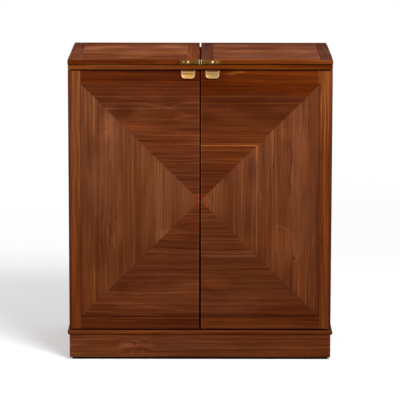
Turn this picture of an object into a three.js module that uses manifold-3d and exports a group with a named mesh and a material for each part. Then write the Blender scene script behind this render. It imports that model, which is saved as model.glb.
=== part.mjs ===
// Bar armoire: a case with two doors, a split flip-out top and a fitted interior for bottles and stemware.
// Millimetres, +Z up, front towards -Y. The origin lies on the floor under the middle of the whole piece.
import * as THREE from 'three';
import { mergeVertices } from 'three/addons/utils/BufferGeometryUtils.js';
import Module from 'manifold-3d';

const wasm = await Module();
wasm.setup();

// Case
const caseWidth = 900;
const caseDepth = 540;
const panelThickness = 18;
const backThickness = 8;
const footHeight = 8;
const footInset = 8.5;
const plinthHeight = 80;
const plinthThickness = 18;
const ledgeThickness = 17;
const ledgeOverhang = 6.5;
const deckThickness = 17.5;
const edgeEase = 1;

// Doors
const doorHeight = 897.5;
const doorThickness = 20;
const doorReveal = 2.5;
const doorSeam = 3;
const doorBackGap = 2.5;

// Folding top leaves
const leafThickness = 13.5;
const leafGap = 1.5;
const leafSeam = 5;
const leafOverhang = 1;

// Clearances that mating pieces share, and the overrun of every cut
const runningGap = 0.25;
const cutOverrun = 2;

// Knife hinges at the top and bottom of each door
const pivotInset = 6;
const knifePlateWidth = 10;
const knifePlateReach = 40;
const knifePlateThickness = 2.5;
const knifePinRadius = 2.5;
const knifeWasherRadius = 4.5;

// Flap hinges along the outer edges of the leaves
const flapHingeInset = 110;
const flapHingeLength = 360;
const flapPlateThickness = 1.5;
const flapPlateHeight = 10.5;
const flapKnuckleRadius = 2.5;
const flapPinRadius = 1.25;
const flapKnuckleGap = 0.5;
const flapKnuckleCount = 9;

// Brass pulls hooked over the top edges of the doors
const pullWidth = 46.5;
const pullHeight = 27;
const pullFromCentre = 18;
const pullThickness = 2;
const pullCapThickness = 1.25;
const pullCapDepth = 15;
const pullLipRise = 13;
const pullLipFlare = 3.5;
const pullCornerRadius = 12;

// Brass corner plates on the front of the leaves, beside the seam
const liftPlateLength = 66;
const liftPlateReturn = 25;
const liftPlateThickness = 1.5;

// Rubber bumpers under the leaves
const bumperRadius = 6;
const bumperInset = 24;

// Magnetic catches and their strike plates
const catchWidth = 40;
const catchDepth = 14;
const catchHeight = 12;
const catchFromCentre = 14;
const catchGap = 0.75;
const strikeThickness = 1.25;
const strikeHeight = 9;

// Bottle caddies on the insides of the doors
const caddyDepth = 88;
const caddyHingeMargin = 26;
const caddySeamMargin = 24;
const caddyFloorMargin = 82.5;
const caddyHeadMargin = 145;
const caddyClearance = 12;
const caddyCheekThickness = 10;
const caddyCheekRound = 40;
const caddyShelfThickness = 12;
const caddyShelfInset = 2;
const caddyRailRadius = 4;
const caddyRailRise = 90;
const caddyRailInset = 8;
const caddyTierCount = 2;

// Crossed boards for lying bottles
const crossThickness = 12;
const crossSetback = 6;

// Shelves of the other bays, at shares of the height of their bays
const shelfThickness = 16;
const shelfSetback = 4;
const lowerShelfShare = 0.5;
const upperShelfShare = 0.46;

// Slotted rack that hangs stemware under the deck
const stemRackThickness = 10;
const stemRackBackGap = 68;
const stemRackSpine = 55;
const stemSlotWidth = 34;
const stemSlotCount = 4;
const stemCleatWidth = 16;
const stemCleatHeight = 26;

// Sides of the round pieces
const pinSides = 20;
const smallPinSides = 12;
const railSides = 16;
const arcSteps = 6;

// Levels from the floor up
const ledgeBottom = footHeight + plinthHeight;
const ledgeTop = ledgeBottom + ledgeThickness;
const doorBottom = ledgeTop + doorReveal;
const doorTop = doorBottom + doorHeight;
const deckBottom = doorTop + doorReveal;
const deckTop = deckBottom + deckThickness;
const leafBottom = deckTop + leafGap;
const leafTop = leafBottom + leafThickness;

// Planes from front to back
const caseFront = ledgeOverhang - (caseDepth + ledgeOverhang) / 2;
const caseBack = caseFront + caseDepth;
const doorBack = caseFront + doorThickness;
const sideFront = doorBack + doorBackGap;
const interiorBack = caseBack - backThickness;
const caddyBack = doorBack + caddyDepth;
const shelfFront = caddyBack + caddyClearance;
const leafFront = caseFront - leafOverhang;

// Places from the middle outwards
const caseHalf = caseWidth / 2;
const interiorHalf = caseHalf - panelThickness;
const dividerHalf = panelThickness / 2;
const bayWidth = interiorHalf - dividerHalf;
const bayCentre = (interiorHalf + dividerHalf) / 2;
const doorInner = doorSeam / 2;
const leafInner = leafSeam / 2;
const leafOuter = caseHalf + leafOverhang;

// The lower bays are square, so that the crossed boards stand at 45 degrees
const floorTop = ledgeTop + panelThickness;
const midShelfBottom = floorTop + bayWidth;
const midShelfTop = midShelfBottom + panelThickness;

// Finishes
function finish(color, roughness, metalness = 0) {
  return new THREE.MeshStandardMaterial({ color, roughness, metalness });
}
const walnut = finish('#6e3a20', 0.45);
const walnutLip = finish('#723a1b', 0.45);
const interiorWood = finish('#7a4a2c', 0.5);
const brass = finish('#b98a4e', 0.35, 1);
const agedBrass = finish('#836030', 0.45, 1);
const hingeBrass = finish('#9a7440', 0.4, 1);
const blackPaint = finish('#1b120d', 0.7);
const steel = finish('#9a9a98', 0.4, 1);
const brownPlastic = finish('#2d211b', 0.6);
const rubber = finish('#20201f', 0.8);

// Solids that are joined or cut
function toSolid(geometry) {
  const bare = geometry.clone();
  bare.deleteAttribute('normal');
  bare.deleteAttribute('uv');
  const merged = mergeVertices(bare);
  return new wasm.Manifold(new wasm.Mesh({
    numProp: 3,
    vertProperties: new Float32Array(merged.attributes.position.array),
    triVerts: new Uint32Array(merged.index.array),
  }));
}

function toGeometry(solid) {
  const mesh = solid.getMesh();
  const geometry = new THREE.BufferGeometry();
  geometry.setAttribute('position', new THREE.BufferAttribute(mesh.vertProperties, 3));
  geometry.setIndex(new THREE.BufferAttribute(mesh.triVerts, 1));
  const faceted = geometry.toNonIndexed();
  faceted.computeVertexNormals();
  return faceted;
}

function join(geometries) {
  return toGeometry(geometries.map(toSolid).reduce((whole, piece) => whole.add(piece)));
}

function cut(geometry, tools) {
  return toGeometry(tools.map(toSolid).reduce((whole, tool) => whole.subtract(tool), toSolid(geometry)));
}

function common(first, second) {
  return toGeometry(toSolid(first).intersect(toSolid(second)));
}

// Spans and boxes: a span is [low, high] along one axis
function spanOn(side, inner, outer) {
  return side < 0 ? [side * outer, side * inner] : [side * inner, side * outer];
}

function spanBetween(a, b) {
  return a < b ? [a, b] : [b, a];
}

function middle([low, high]) {
  return (low + high) / 2;
}

function box(x, y, z) {
  const geometry = new THREE.BoxGeometry(x[1] - x[0], y[1] - y[0], z[1] - z[0]);
  return geometry.translate(middle(x), middle(y), middle(z));
}

function shapeOf(points) {
  return new THREE.Shape(points.map(([x, y]) => new THREE.Vector2(x, y)));
}

function prism(shape, length) {
  return new THREE.ExtrudeGeometry(shape, { depth: length, bevelEnabled: false, curveSegments: arcSteps });
}

// A board with every edge eased by a small chamfer, centred on its own middle
function easedBoard(width, depth, height) {
  const x = width / 2;
  const y = depth / 2;
  const outline = shapeOf([
    [edgeEase - x, -y], [x - edgeEase, -y], [x, edgeEase - y], [x, y - edgeEase],
    [x - edgeEase, y], [edgeEase - x, y], [-x, y - edgeEase], [-x, edgeEase - y],
  ]);
  const straight = height - edgeEase - edgeEase;
  const board = new THREE.ExtrudeGeometry(outline, {
    depth: straight,
    bevelThickness: edgeEase,
    bevelSize: edgeEase,
    bevelOffset: -edgeEase,
    bevelSegments: 1,
  });
  return board.translate(0, 0, -straight / 2);
}

function meshOf(name, geometry, material) {
  const mesh = new THREE.Mesh(geometry, material);
  mesh.name = name;
  return mesh;
}

function board(name, material, x, y, z) {
  const mesh = meshOf(name, easedBoard(x[1] - x[0], y[1] - y[0], z[1] - z[0]), material);
  mesh.position.set(middle(x), middle(y), middle(z));
  return mesh;
}

function block(name, material, x, y, z) {
  const mesh = meshOf(name, new THREE.BoxGeometry(x[1] - x[0], y[1] - y[0], z[1] - z[0]), material);
  mesh.position.set(middle(x), middle(y), middle(z));
  return mesh;
}

const hands = [['left', -1], ['right', 1]];
const doorEnds = [['top', 1], ['bottom', -1]];

// Knife hinge pieces: each lies in a mortise that opens at the outer edge of its board
function pivotX(side) {
  return side * (caseHalf - pivotInset);
}
const pivotY = caseFront + doorThickness / 2;

function knifeOutline() {
  const radius = knifePlateWidth / 2;
  const outline = new THREE.Shape();
  outline.moveTo(knifePlateReach, -radius);
  outline.lineTo(knifePlateReach, radius);
  outline.lineTo(0, radius);
  outline.absarc(0, 0, radius, Math.PI / 2, Math.PI * 1.5, false);
  return outline;
}

function knifeMortise(side, z) {
  const x = spanOn(side, caseHalf - pivotInset - knifePlateReach - runningGap, caseHalf + cutOverrun);
  const halfWidth = knifePlateWidth / 2 + runningGap;
  return box(x, [pivotY - halfWidth, pivotY + halfWidth], z);
}

function uprightRod(radius, z, sides) {
  const rod = new THREE.CylinderGeometry(radius, radius, z[1] - z[0], sides);
  return rod.rotateX(Math.PI / 2).translate(0, 0, middle(z));
}

function placeAtPivot(mesh, side, z) {
  mesh.position.set(pivotX(side), pivotY, z);
  mesh.rotation.z = side < 0 ? 0 : Math.PI;
  return mesh;
}

function knifeCasePlate(name, side, direction) {
  const plate = prism(knifeOutline(), knifePlateThickness);
  const faceZ = direction > 0 ? 0 : knifePlateThickness;
  const buried = faceZ + direction * knifePlateThickness / 2;
  const washerEnd = faceZ - direction * (doorReveal - runningGap);
  const pinEnd = faceZ - direction * (doorReveal + knifePlateThickness - runningGap);
  const washer = uprightRod(knifeWasherRadius, spanBetween(buried, washerEnd), pinSides);
  const pin = uprightRod(knifePinRadius, spanBetween(buried, pinEnd), pinSides);
  const seat = direction > 0 ? deckBottom : ledgeTop - knifePlateThickness;
  return placeAtPivot(meshOf(name, join([plate, washer, pin]), hingeBrass), side, seat);
}

function knifeDoorPlate(name, side, direction) {
  const outline = knifeOutline();
  const hole = new THREE.Path();
  hole.absarc(0, 0, knifePinRadius + runningGap, 0, Math.PI * 2, true);
  outline.holes.push(hole);
  const seat = direction > 0 ? doorTop - knifePlateThickness : doorBottom;
  const plate = new THREE.ExtrudeGeometry(outline, {
    depth: knifePlateThickness, bevelEnabled: false, curveSegments: pinSides,
  });
  return placeAtPivot(meshOf(name, plate, hingeBrass), side, seat);
}

// The projecting ledge has a rounded nose on the front and sides and is cut square at the back
function ledge() {
  const x = caseHalf + ledgeOverhang;
  const nose = ledgeThickness / 2;
  const beyond = caseBack + cutOverrun + ledgeOverhang;
  const outline = shapeOf([
    [-x, caseFront - ledgeOverhang], [x, caseFront - ledgeOverhang], [x, beyond], [-x, beyond],
  ]);
  const rounded = new THREE.ExtrudeGeometry(outline, {
    depth: edgeEase,
    bevelThickness: nose - edgeEase / 2,
    bevelSize: ledgeOverhang,
    bevelOffset: -ledgeOverhang,
    bevelSegments: arcSteps,
  });
  rounded.translate(0, 0, ledgeBottom + nose - edgeEase / 2);
  const pastBack = [caseBack, beyond + cutOverrun];
  const allWidth = [-x - cutOverrun, x + cutOverrun];
  const allHeight = [ledgeBottom - cutOverrun, ledgeTop + cutOverrun];
  const mortises = hands.map(([, side]) => (
    knifeMortise(side, [ledgeTop - knifePlateThickness, ledgeTop + cutOverrun])
  ));
  return meshOf('base_ledge', cut(rounded, [box(allWidth, pastBack, allHeight), ...mortises]), walnutLip);
}

// Plinth boards: the front corners are mitred, the back board stands between the sides
function plinthBoards() {
  const z = plinthHeight;
  const innerHalf = caseHalf - plinthThickness;
  const innerFront = caseFront + plinthThickness;
  const front = meshOf('plinth_front', prism(shapeOf([
    [-caseHalf, caseFront], [caseHalf, caseFront], [innerHalf, innerFront], [-innerHalf, innerFront],
  ]), z), walnut);
  const sides = hands.map(([hand, side]) => {
    const corners = [
      [side * caseHalf, caseFront], [side * caseHalf, caseBack],
      [side * innerHalf, caseBack], [side * innerHalf, innerFront],
    ];
    return meshOf(`plinth_${hand}`, prism(shapeOf(corners), z), walnut);
  });
  for (const piece of [front, ...sides]) {
    piece.position.z = footHeight;
  }
  const back = block('plinth_back', walnut, [-innerHalf, innerHalf], [caseBack - plinthThickness, caseBack],
    [footHeight, ledgeBottom]);
  return [front, ...sides, back];
}

// The fixed deck is the serving surface under the leaves
function deck() {
  const blank = easedBoard(caseWidth, caseDepth, deckThickness);
  blank.translate(0, (caseFront + caseBack) / 2, (deckBottom + deckTop) / 2);
  const mortises = hands.map(([, side]) => (
    knifeMortise(side, [deckBottom - cutOverrun, deckBottom + knifePlateThickness])
  ));
  return meshOf('top_deck', cut(blank, mortises), walnutLip);
}

function carcass() {
  const group = new THREE.Group();
  const uprights = [ledgeTop, deckBottom];
  group.add(board('foot_board', blackPaint, [footInset - caseHalf, caseHalf - footInset],
    [caseFront + footInset, caseBack - footInset], [0, footHeight]));
  group.add(...plinthBoards(), ledge(), deck());
  for (const [hand, side] of hands) {
    group.add(board(`side_panel_${hand}`, walnut, spanOn(side, interiorHalf, caseHalf),
      [sideFront, caseBack], uprights));
  }
  group.add(block('back_panel', interiorWood, [-interiorHalf, interiorHalf], [interiorBack, caseBack],
    uprights));
  group.add(board('floor_panel', interiorWood, [-interiorHalf, interiorHalf], [sideFront, interiorBack],
    [ledgeTop, floorTop]));
  group.add(board('middle_shelf', interiorWood, [-interiorHalf, interiorHalf], [shelfFront, interiorBack],
    [midShelfBottom, midShelfTop]));
  group.add(board('lower_divider', interiorWood, [-dividerHalf, dividerHalf], [shelfFront, interiorBack],
    [floorTop, midShelfBottom]));
  group.add(board('upper_divider', interiorWood, [-dividerHalf, dividerHalf], [shelfFront, interiorBack],
    [midShelfTop, deckBottom]));
  return group;
}

// Two crossed boards divide the lower left bay into four bins; one runs through, the other is in halves
function bottleCross() {
  const group = new THREE.Group();
  const half = crossThickness / 2;
  const reach = (bayWidth / 2 - runningGap) * Math.SQRT2;
  const depth = interiorBack - shelfFront - crossSetback;
  const through = shapeOf([
    [-reach, 0], [half - reach, -half], [reach - half, -half],
    [reach, 0], [reach - half, half], [half - reach, half],
  ]);
  const stub = shapeOf([
    [half + runningGap, -half], [reach - half, -half], [reach, 0], [reach - half, half],
    [half + runningGap, half],
  ]);
  const pieces = [
    ['cross_board', through, Math.PI / 4],
    ['cross_half_upper', stub, Math.PI * 0.75],
    ['cross_half_lower', stub, -Math.PI / 4],
  ];
  for (const [name, outline, turn] of pieces) {
    const mesh = meshOf(name, prism(outline, depth), interiorWood);
    mesh.rotation.z = turn;
    group.add(mesh);
  }
  group.position.set(-bayCentre, interiorBack, (floorTop + midShelfBottom) / 2);
  group.rotation.x = Math.PI / 2;
  return group;
}

function bayShelves() {
  const group = new THREE.Group();
  const x = [dividerHalf + runningGap, interiorHalf - runningGap];
  const y = [shelfFront + shelfSetback, interiorBack - runningGap];
  const bays = [
    ['lower_shelf', floorTop, midShelfBottom, lowerShelfShare],
    ['upper_shelf', midShelfTop, deckBottom, upperShelfShare],
  ];
  for (const [name, low, high, share] of bays) {
    const middleZ = low + (high - low) * share;
    group.add(board(name, interiorWood, x, y, [middleZ - shelfThickness / 2, middleZ + shelfThickness / 2]));
  }
  return group;
}

// The stemware rack is a board with open slots, hung on two cleats under the deck in the upper left bay
function stemRack() {
  const group = new THREE.Group();
  const front = shelfFront + shelfSetback;
  const back = interiorBack - stemRackBackGap;
  const slotEnd = back - stemRackSpine;
  const outer = runningGap - interiorHalf;
  const inner = -dividerHalf - runningGap;
  const pitch = bayWidth / stemSlotCount;
  const radius = stemSlotWidth / 2;
  const outline = new THREE.Shape();
  outline.moveTo(outer, back);
  outline.lineTo(outer, front);
  for (let i = 0; i < stemSlotCount; i += 1) {
    const x = pitch * (i + 0.5) - interiorHalf;
    outline.lineTo(x - radius, front);
    outline.lineTo(x - radius, slotEnd - radius);
    outline.absarc(x, slotEnd - radius, radius, Math.PI, 0, true);
    outline.lineTo(x + radius, front);
  }
  outline.lineTo(inner, front);
  outline.lineTo(inner, back);
  const cleatBottom = deckBottom - stemCleatHeight;
  const rack = meshOf('stem_rack', prism(outline, stemRackThickness), interiorWood);
  rack.position.z = cleatBottom - stemRackThickness;
  group.add(rack);
  const cleats = [
    ['stem_cleat_outer', spanOn(-1, interiorHalf - stemCleatWidth, interiorHalf)],
    ['stem_cleat_inner', spanOn(-1, dividerHalf, dividerHalf + stemCleatWidth)],
  ];
  for (const [name, x] of cleats) {
    group.add(board(name, interiorWood, x, [front, back], [cleatBottom, deckBottom]));
  }
  return group;
}

function doorPanel(hand, side) {
  const blank = easedBoard(caseHalf - doorInner, doorThickness, doorHeight);
  blank.translate(side * (caseHalf + doorInner) / 2, pivotY, (doorBottom + doorTop) / 2);
  const mortises = [
    knifeMortise(side, [doorTop - knifePlateThickness, doorTop + cutOverrun]),
    knifeMortise(side, [doorBottom - cutOverrun, doorBottom + knifePlateThickness]),
  ];
  return meshOf(`door_${hand}`, cut(blank, mortises), walnut);
}

// A pull is a bent plate: a cap over the top edge, a tab down the face and a lip that flares to the fingers
function doorPull(hand, side) {
  const lipTop = pullLipRise - pullHeight;
  const profile = shapeOf([
    [-pullThickness, pullCapThickness], [-pullThickness, lipTop],
    [-pullThickness - pullLipFlare, -pullHeight], [-pullLipFlare, -pullHeight],
    [0, lipTop], [0, 0], [pullCapDepth, 0], [pullCapDepth, pullCapThickness],
  ]);
  const bent = prism(profile, pullWidth).rotateX(Math.PI / 2).rotateZ(Math.PI / 2);
  const half = pullWidth / 2;
  const low = -pullHeight - cutOverrun;
  const tab = new THREE.Shape();
  tab.moveTo(half, pullCapThickness + cutOverrun);
  tab.lineTo(-half, pullCapThickness + cutOverrun);
  tab.lineTo(-half, pullCornerRadius - pullHeight);
  tab.absarc(pullCornerRadius - half, pullCornerRadius - pullHeight, pullCornerRadius,
    Math.PI, Math.PI * 1.5, false);
  tab.lineTo(pullCornerRadius - half, low);
  tab.lineTo(half - pullCornerRadius, low);
  tab.lineTo(half - pullCornerRadius, -pullHeight);
  tab.absarc(half - pullCornerRadius, pullCornerRadius - pullHeight, pullCornerRadius,
    Math.PI * 1.5, Math.PI * 2, false);
  const thick = pullThickness + pullLipFlare + pullCapDepth + cutOverrun * 2;
  const mould = prism(tab, thick).rotateX(Math.PI / 2).translate(0, pullCapDepth + cutOverrun, 0);
  bent.translate(-half, 0, 0);
  const mesh = meshOf(`pull_${hand}`, common(bent, mould), brass);
  mesh.position.set(side * (pullFromCentre + half), caseFront, doorTop);
  return mesh;
}

function catchPieces(hand, side) {
  const x = spanOn(side, catchFromCentre, catchFromCentre + catchWidth);
  const strikeBack = doorBack + strikeThickness;
  const strike = block(`strike_plate_${hand}`, steel, x, [doorBack, strikeBack],
    [deckBottom - catchHeight, deckBottom - catchHeight + strikeHeight]);
  const magnetFront = strikeBack + catchGap;
  const magnet = board(`magnet_catch_${hand}`, brownPlastic, x, [magnetFront, magnetFront + catchDepth],
    [deckBottom - catchHeight, deckBottom]);
  return { strike, magnet };
}

// A caddy is two tall cheeks that carry a small shelf and a rail on each tier
function caddyCheek(name, x, z) {
  const outline = new THREE.Shape();
  outline.moveTo(doorBack, z[0]);
  outline.lineTo(caddyBack, z[0]);
  outline.lineTo(caddyBack, z[1] - caddyCheekRound);
  outline.absarc(caddyBack - caddyCheekRound, z[1] - caddyCheekRound, caddyCheekRound, 0, Math.PI / 2, false);
  outline.lineTo(doorBack, z[1]);
  const mesh = meshOf(name, prism(outline, x[1] - x[0]), interiorWood);
  mesh.geometry.rotateX(Math.PI / 2).rotateZ(Math.PI / 2);
  mesh.position.x = x[0];
  return mesh;
}

function doorCaddy(hand, side) {
  const group = new THREE.Group();
  const inner = doorInner + caddySeamMargin;
  const outer = caseHalf - caddyHingeMargin;
  const low = doorBottom + caddyFloorMargin;
  const high = doorTop - caddyHeadMargin;
  group.add(caddyCheek(`caddy_${hand}_cheek_hinge`,
    spanOn(side, outer - caddyCheekThickness, outer), [low, high]));
  group.add(caddyCheek(`caddy_${hand}_cheek_seam`,
    spanOn(side, inner, inner + caddyCheekThickness), [low, high]));
  const between = spanOn(side, inner + caddyCheekThickness, outer - caddyCheekThickness);
  const tierNames = ['lower', 'upper'];
  for (let tier = 0; tier < caddyTierCount; tier += 1) {
    const z = low + (high - low) * tier / caddyTierCount;
    group.add(board(`caddy_${hand}_shelf_${tierNames[tier]}`, interiorWood, between,
      [doorBack, caddyBack - caddyShelfInset], [z, z + caddyShelfThickness]));
    const rail = meshOf(`caddy_${hand}_rail_${tierNames[tier]}`, new THREE.CylinderGeometry(
      caddyRailRadius, caddyRailRadius, between[1] - between[0], railSides), brass);
    rail.rotation.z = Math.PI / 2;
    rail.position.set(middle(between), caddyBack - caddyRailInset, z + caddyShelfThickness + caddyRailRise);
    group.add(rail);
  }
  return group;
}

function doorAssembly(hand, side) {
  const group = new THREE.Group();
  group.add(doorPanel(hand, side), doorPull(hand, side), doorCaddy(hand, side));
  for (const [end, direction] of doorEnds) {
    group.add(knifeDoorPlate(`knife_hinge_${hand}_${end}_door`, side, direction));
  }
  return group;
}

// The corner plate wraps from the front of a leaf into the seam
function liftPlateOutline(side, clearance) {
  const inner = side * (leafInner - clearance);
  const outer = side * (leafInner + liftPlateLength + clearance);
  const web = side * (leafInner + liftPlateThickness + clearance);
  const front = leafFront - clearance;
  const face = leafFront + liftPlateThickness + clearance;
  const end = leafFront + liftPlateReturn + clearance;
  return shapeOf([[inner, front], [outer, front], [outer, face], [web, face], [web, end], [inner, end]]);
}

function leafPanel(hand, side) {
  const blank = easedBoard(leafOuter - leafInner, caseBack - leafFront, leafThickness);
  blank.translate(side * (leafOuter + leafInner) / 2, (caseBack + leafFront) / 2, (leafBottom + leafTop) / 2);
  const rebate = prism(liftPlateOutline(side, runningGap), leafThickness + cutOverrun * 2);
  rebate.translate(0, 0, leafBottom - cutOverrun);
  return meshOf(`leaf_${hand}`, cut(blank, [rebate]), walnut);
}

function liftPlate(hand, side) {
  const height = leafThickness - runningGap * 2;
  const mesh = meshOf(`lift_plate_${hand}`, prism(liftPlateOutline(side, 0), height), agedBrass);
  mesh.position.z = leafBottom + runningGap;
  return mesh;
}

// Flap hinge: two plates on the board edges, with knuckles that alternate on one pin
const flapAxisX = leafOuter + runningGap + flapKnuckleRadius;
const flapAxisZ = (deckTop + leafBottom) / 2;
const flapStart = caseFront + flapHingeInset;

function flapRod(side, radius, y, sides) {
  const rod = new THREE.CylinderGeometry(radius, radius, y[1] - y[0], sides);
  return rod.translate(side * flapAxisX, middle(y), flapAxisZ);
}

function flapHalf(side, seatX, upward, firstKnuckle) {
  const direction = upward ? 1 : -1;
  const near = flapAxisZ + direction * (flapKnuckleRadius + runningGap);
  const plateZ = spanBetween(near, near + direction * flapPlateHeight);
  const webZ = spanBetween(near + direction * flapPlateThickness, flapAxisZ + direction * flapPinRadius);
  const allY = [flapStart, flapStart + flapHingeLength];
  const pieces = [box(spanOn(side, seatX, seatX + flapPlateThickness), allY, plateZ)];
  const pitch = flapHingeLength / flapKnuckleCount;
  for (let i = firstKnuckle; i < flapKnuckleCount; i += 2) {
    const start = flapStart + pitch * i;
    const y = [start + flapKnuckleGap / 2, start + pitch - flapKnuckleGap / 2];
    pieces.push(flapRod(side, flapKnuckleRadius, y, pinSides));
    pieces.push(box(spanOn(side, seatX, flapAxisX), y, webZ));
  }
  return join(pieces);
}

function flapHinge(hand, side) {
  const ends = [flapStart + flapKnuckleGap, flapStart + flapHingeLength - flapKnuckleGap];
  const pin = flapRod(side, flapPinRadius, ends, smallPinSides);
  const deckHalf = join([flapHalf(side, caseHalf, false, 0), pin]);
  const bore = flapRod(side, flapPinRadius + runningGap,
    [flapStart - cutOverrun, flapStart + flapHingeLength + cutOverrun], smallPinSides);
  const leafHalf = cut(flapHalf(side, leafOuter, true, 1), [bore]);
  return {
    deck: meshOf(`flap_hinge_${hand}_deck`, deckHalf, hingeBrass),
    leaf: meshOf(`flap_hinge_${hand}_leaf`, leafHalf, hingeBrass),
  };
}

function leafBumper(hand, side) {
  const height = leafGap - runningGap;
  const mesh = meshOf(`leaf_bumper_${hand}`,
    new THREE.CylinderGeometry(bumperRadius, bumperRadius, height, pinSides), rubber);
  mesh.rotation.x = Math.PI / 2;
  mesh.position.set(side * (leafInner + bumperInset), leafFront + bumperInset, leafBottom - height / 2);
  return mesh;
}

function armoire() {
  const whole = new THREE.Group();
  whole.add(carcass(), bottleCross(), bayShelves(), stemRack());
  for (const [hand, side] of hands) {
    const { strike, magnet } = catchPieces(hand, side);
    const hinge = flapHinge(hand, side);
    const door = doorAssembly(hand, side);
    door.add(strike);
    const leaf = new THREE.Group();
    leaf.add(leafPanel(hand, side), liftPlate(hand, side), leafBumper(hand, side), hinge.leaf);
    whole.add(magnet, hinge.deck, door, leaf);
    for (const [end, direction] of doorEnds) {
      whole.add(knifeCasePlate(`knife_hinge_${hand}_${end}_case`, side, direction));
    }
  }
  return whole;
}

export default armoire();
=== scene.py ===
# The looks of a bar armoire, in Blender: veneers, brass, small fittings, light and camera.
# Metres, +Z up, front towards -Y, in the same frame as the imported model.
import math

import bmesh
import bpy
from mathutils import Matrix, Vector


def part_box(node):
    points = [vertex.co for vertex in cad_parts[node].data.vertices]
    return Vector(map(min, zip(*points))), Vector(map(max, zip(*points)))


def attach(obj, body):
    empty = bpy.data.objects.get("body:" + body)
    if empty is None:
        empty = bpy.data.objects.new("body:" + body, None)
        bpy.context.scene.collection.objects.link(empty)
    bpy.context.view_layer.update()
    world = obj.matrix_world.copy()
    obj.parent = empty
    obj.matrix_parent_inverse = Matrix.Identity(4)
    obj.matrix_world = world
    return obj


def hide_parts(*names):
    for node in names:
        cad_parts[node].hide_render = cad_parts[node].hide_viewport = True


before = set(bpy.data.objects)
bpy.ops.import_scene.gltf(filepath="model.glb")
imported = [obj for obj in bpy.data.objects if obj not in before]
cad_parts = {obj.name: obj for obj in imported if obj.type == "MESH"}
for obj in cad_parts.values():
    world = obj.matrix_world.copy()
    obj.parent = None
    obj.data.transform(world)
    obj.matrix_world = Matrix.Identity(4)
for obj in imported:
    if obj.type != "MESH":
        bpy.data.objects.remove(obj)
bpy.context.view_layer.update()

MM = 0.001
HANDS = (("left", -1), ("right", 1))

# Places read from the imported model
door_low, door_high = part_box("door_left")
leaf_low, leaf_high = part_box("leaf_left")
deck_low, deck_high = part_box("top_deck")
ledge_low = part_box("base_ledge")[0]
case_half = deck_high.x
door_front = door_low.y
door_top = door_high.z
door_middle = (door_low.z + door_high.z) / 2
door_half_height = (door_high.z - door_low.z) / 2

# Bands of veneer round the fields of the doors and of the leaves, and the glue lines between them
BAND = 42.5 * MM
CAP = 45 * MM
JOINT = 2.0 * MM
field_half_x = case_half - BAND
field_half_z = door_half_height - CAP
leaf_centre = (leaf_low + leaf_high) / 2
leaf_half_x = (leaf_high.x - leaf_low.x) / 2 - BAND
leaf_half_y = (leaf_high.y - leaf_low.y) / 2 - BAND

# Half of the width over which a long board changes from the tone of its left to the tone of its right
TURN_OF_TONE = 200 * MM

# A shade says how much lighter or darker a place is than the bare finish. Pairs are for left and right
PLAIN = (1.0, 1.0, 1.0)
BOTH_PLAIN = (PLAIN, PLAIN)

# Brass pulls
PULL_FACE = 2 * MM
PULL_LIP = 12 * MM
PULL_FLARE = 3.3 * MM
PULL_ROUND = 12 * MM
PULL_RIM = 4.2 * MM
PULL_DISH = 0.9 * MM
PULL_BEND = 1.7 * MM
PULL_EASE = 0.45 * MM

# Lift plates, bottle rails with their flanges, and shelf pins
PLATE = 1.5 * MM
PLATE_EASE = 0.3 * MM
RAIL_EASE = 0.5 * MM
FLANGE_RADIUS = 9 * MM
FLANGE = 2.5 * MM
PIN_RADIUS = 2.5 * MM
PIN_FROM_END = 50 * MM

# Screws: places, and radii in mm. The two of a lift plate have their distance from the middle first
PLATE_SCREWS = ((41.5 * MM, 4.8), (56.5 * MM, 3.0))
PULL_SCREW = 2.2
PULL_SCREW_SHARES = (0.25, 0.75)
PULL_SCREW_DEPTH = 8 * MM
HINGE_SCREW = 2.6
HINGE_SCREW_COUNT = 5
HINGE_SCREW_START = 0.06
HINGE_SCREW_STEP = 0.22
HINGE_SCREW_INSET = 6 * MM
HINGE_PLATE = 1.5 * MM
LEAF_PLATE_PROUD = 1 * MM

# How far the foot of a screw or a pin reaches past the corner of the box that it is placed by
SEAT = 0.25 * MM

# Levels of light, and the lamps with their place, aim, size and power
WORLD_LEVEL = 0.42
FLOOR_LIFT = 0.3
FLOOR_WHITES = (0.35, 0.8)
FLOOR_FADE = (1.3, 4.0)
FLOOR_SIZE = 80
LAMPS = (
    ("key", (1.3, -2.9, 3.8), (0, 0, 0.5), 1.8, 190),
    ("fill", (-3.5, -4.5, 2.6), (0, 0, 0.6), 3.0, 50),
    ("rear", (-1.5, 4.5, 2.6), (0, 0, 0.6), 3.0, 40),
)

# Camera, from the fit to the photograph
CAMERA_PLACE = (0.0103, -9.288, 2.105)
CAMERA_PITCH = math.radians(9.723)
CAMERA_ROLL = math.radians(-0.067)
CAMERA_YAW = math.radians(0.080)
CAMERA_LENS = 240.8
SENSOR = 36.0
CAMERA_SIGHT = 200


class Signal:
    """A shader socket that can be added, multiplied and compared like a number."""

    def __init__(self, finish, socket):
        self.finish = finish
        self.socket = socket

    def math(self, operation, *others):
        values = dict(enumerate((self,) + others))
        return self.finish.add("ShaderNodeMath", {"operation": operation}, values)

    def __add__(self, other):
        return self.math("ADD", other)

    __radd__ = __add__

    def __sub__(self, other):
        return self.math("SUBTRACT", other)

    def __rsub__(self, other):
        return self.finish.add("ShaderNodeMath", {"operation": "SUBTRACT"}, {0: other, 1: self})

    def __mul__(self, other):
        return self.math("MULTIPLY", other)

    __rmul__ = __mul__

    def __truediv__(self, other):
        return self.math("DIVIDE", other)

    def __gt__(self, other):
        return self.math("GREATER_THAN", other)

    def __lt__(self, other):
        return self.math("LESS_THAN", other)

    def __or__(self, other):
        return self.math("MAXIMUM", other)

    def __abs__(self):
        return self.math("ABSOLUTE")

    def within(self, low, high):
        """0 where the value is at low, 1 where it is at high, with a smooth step between."""
        settings = {"interpolation_type": "SMOOTHSTEP"}
        return self.finish.add("ShaderNodeMapRange", settings, {0: self, 1: low, 2: high})


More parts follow.
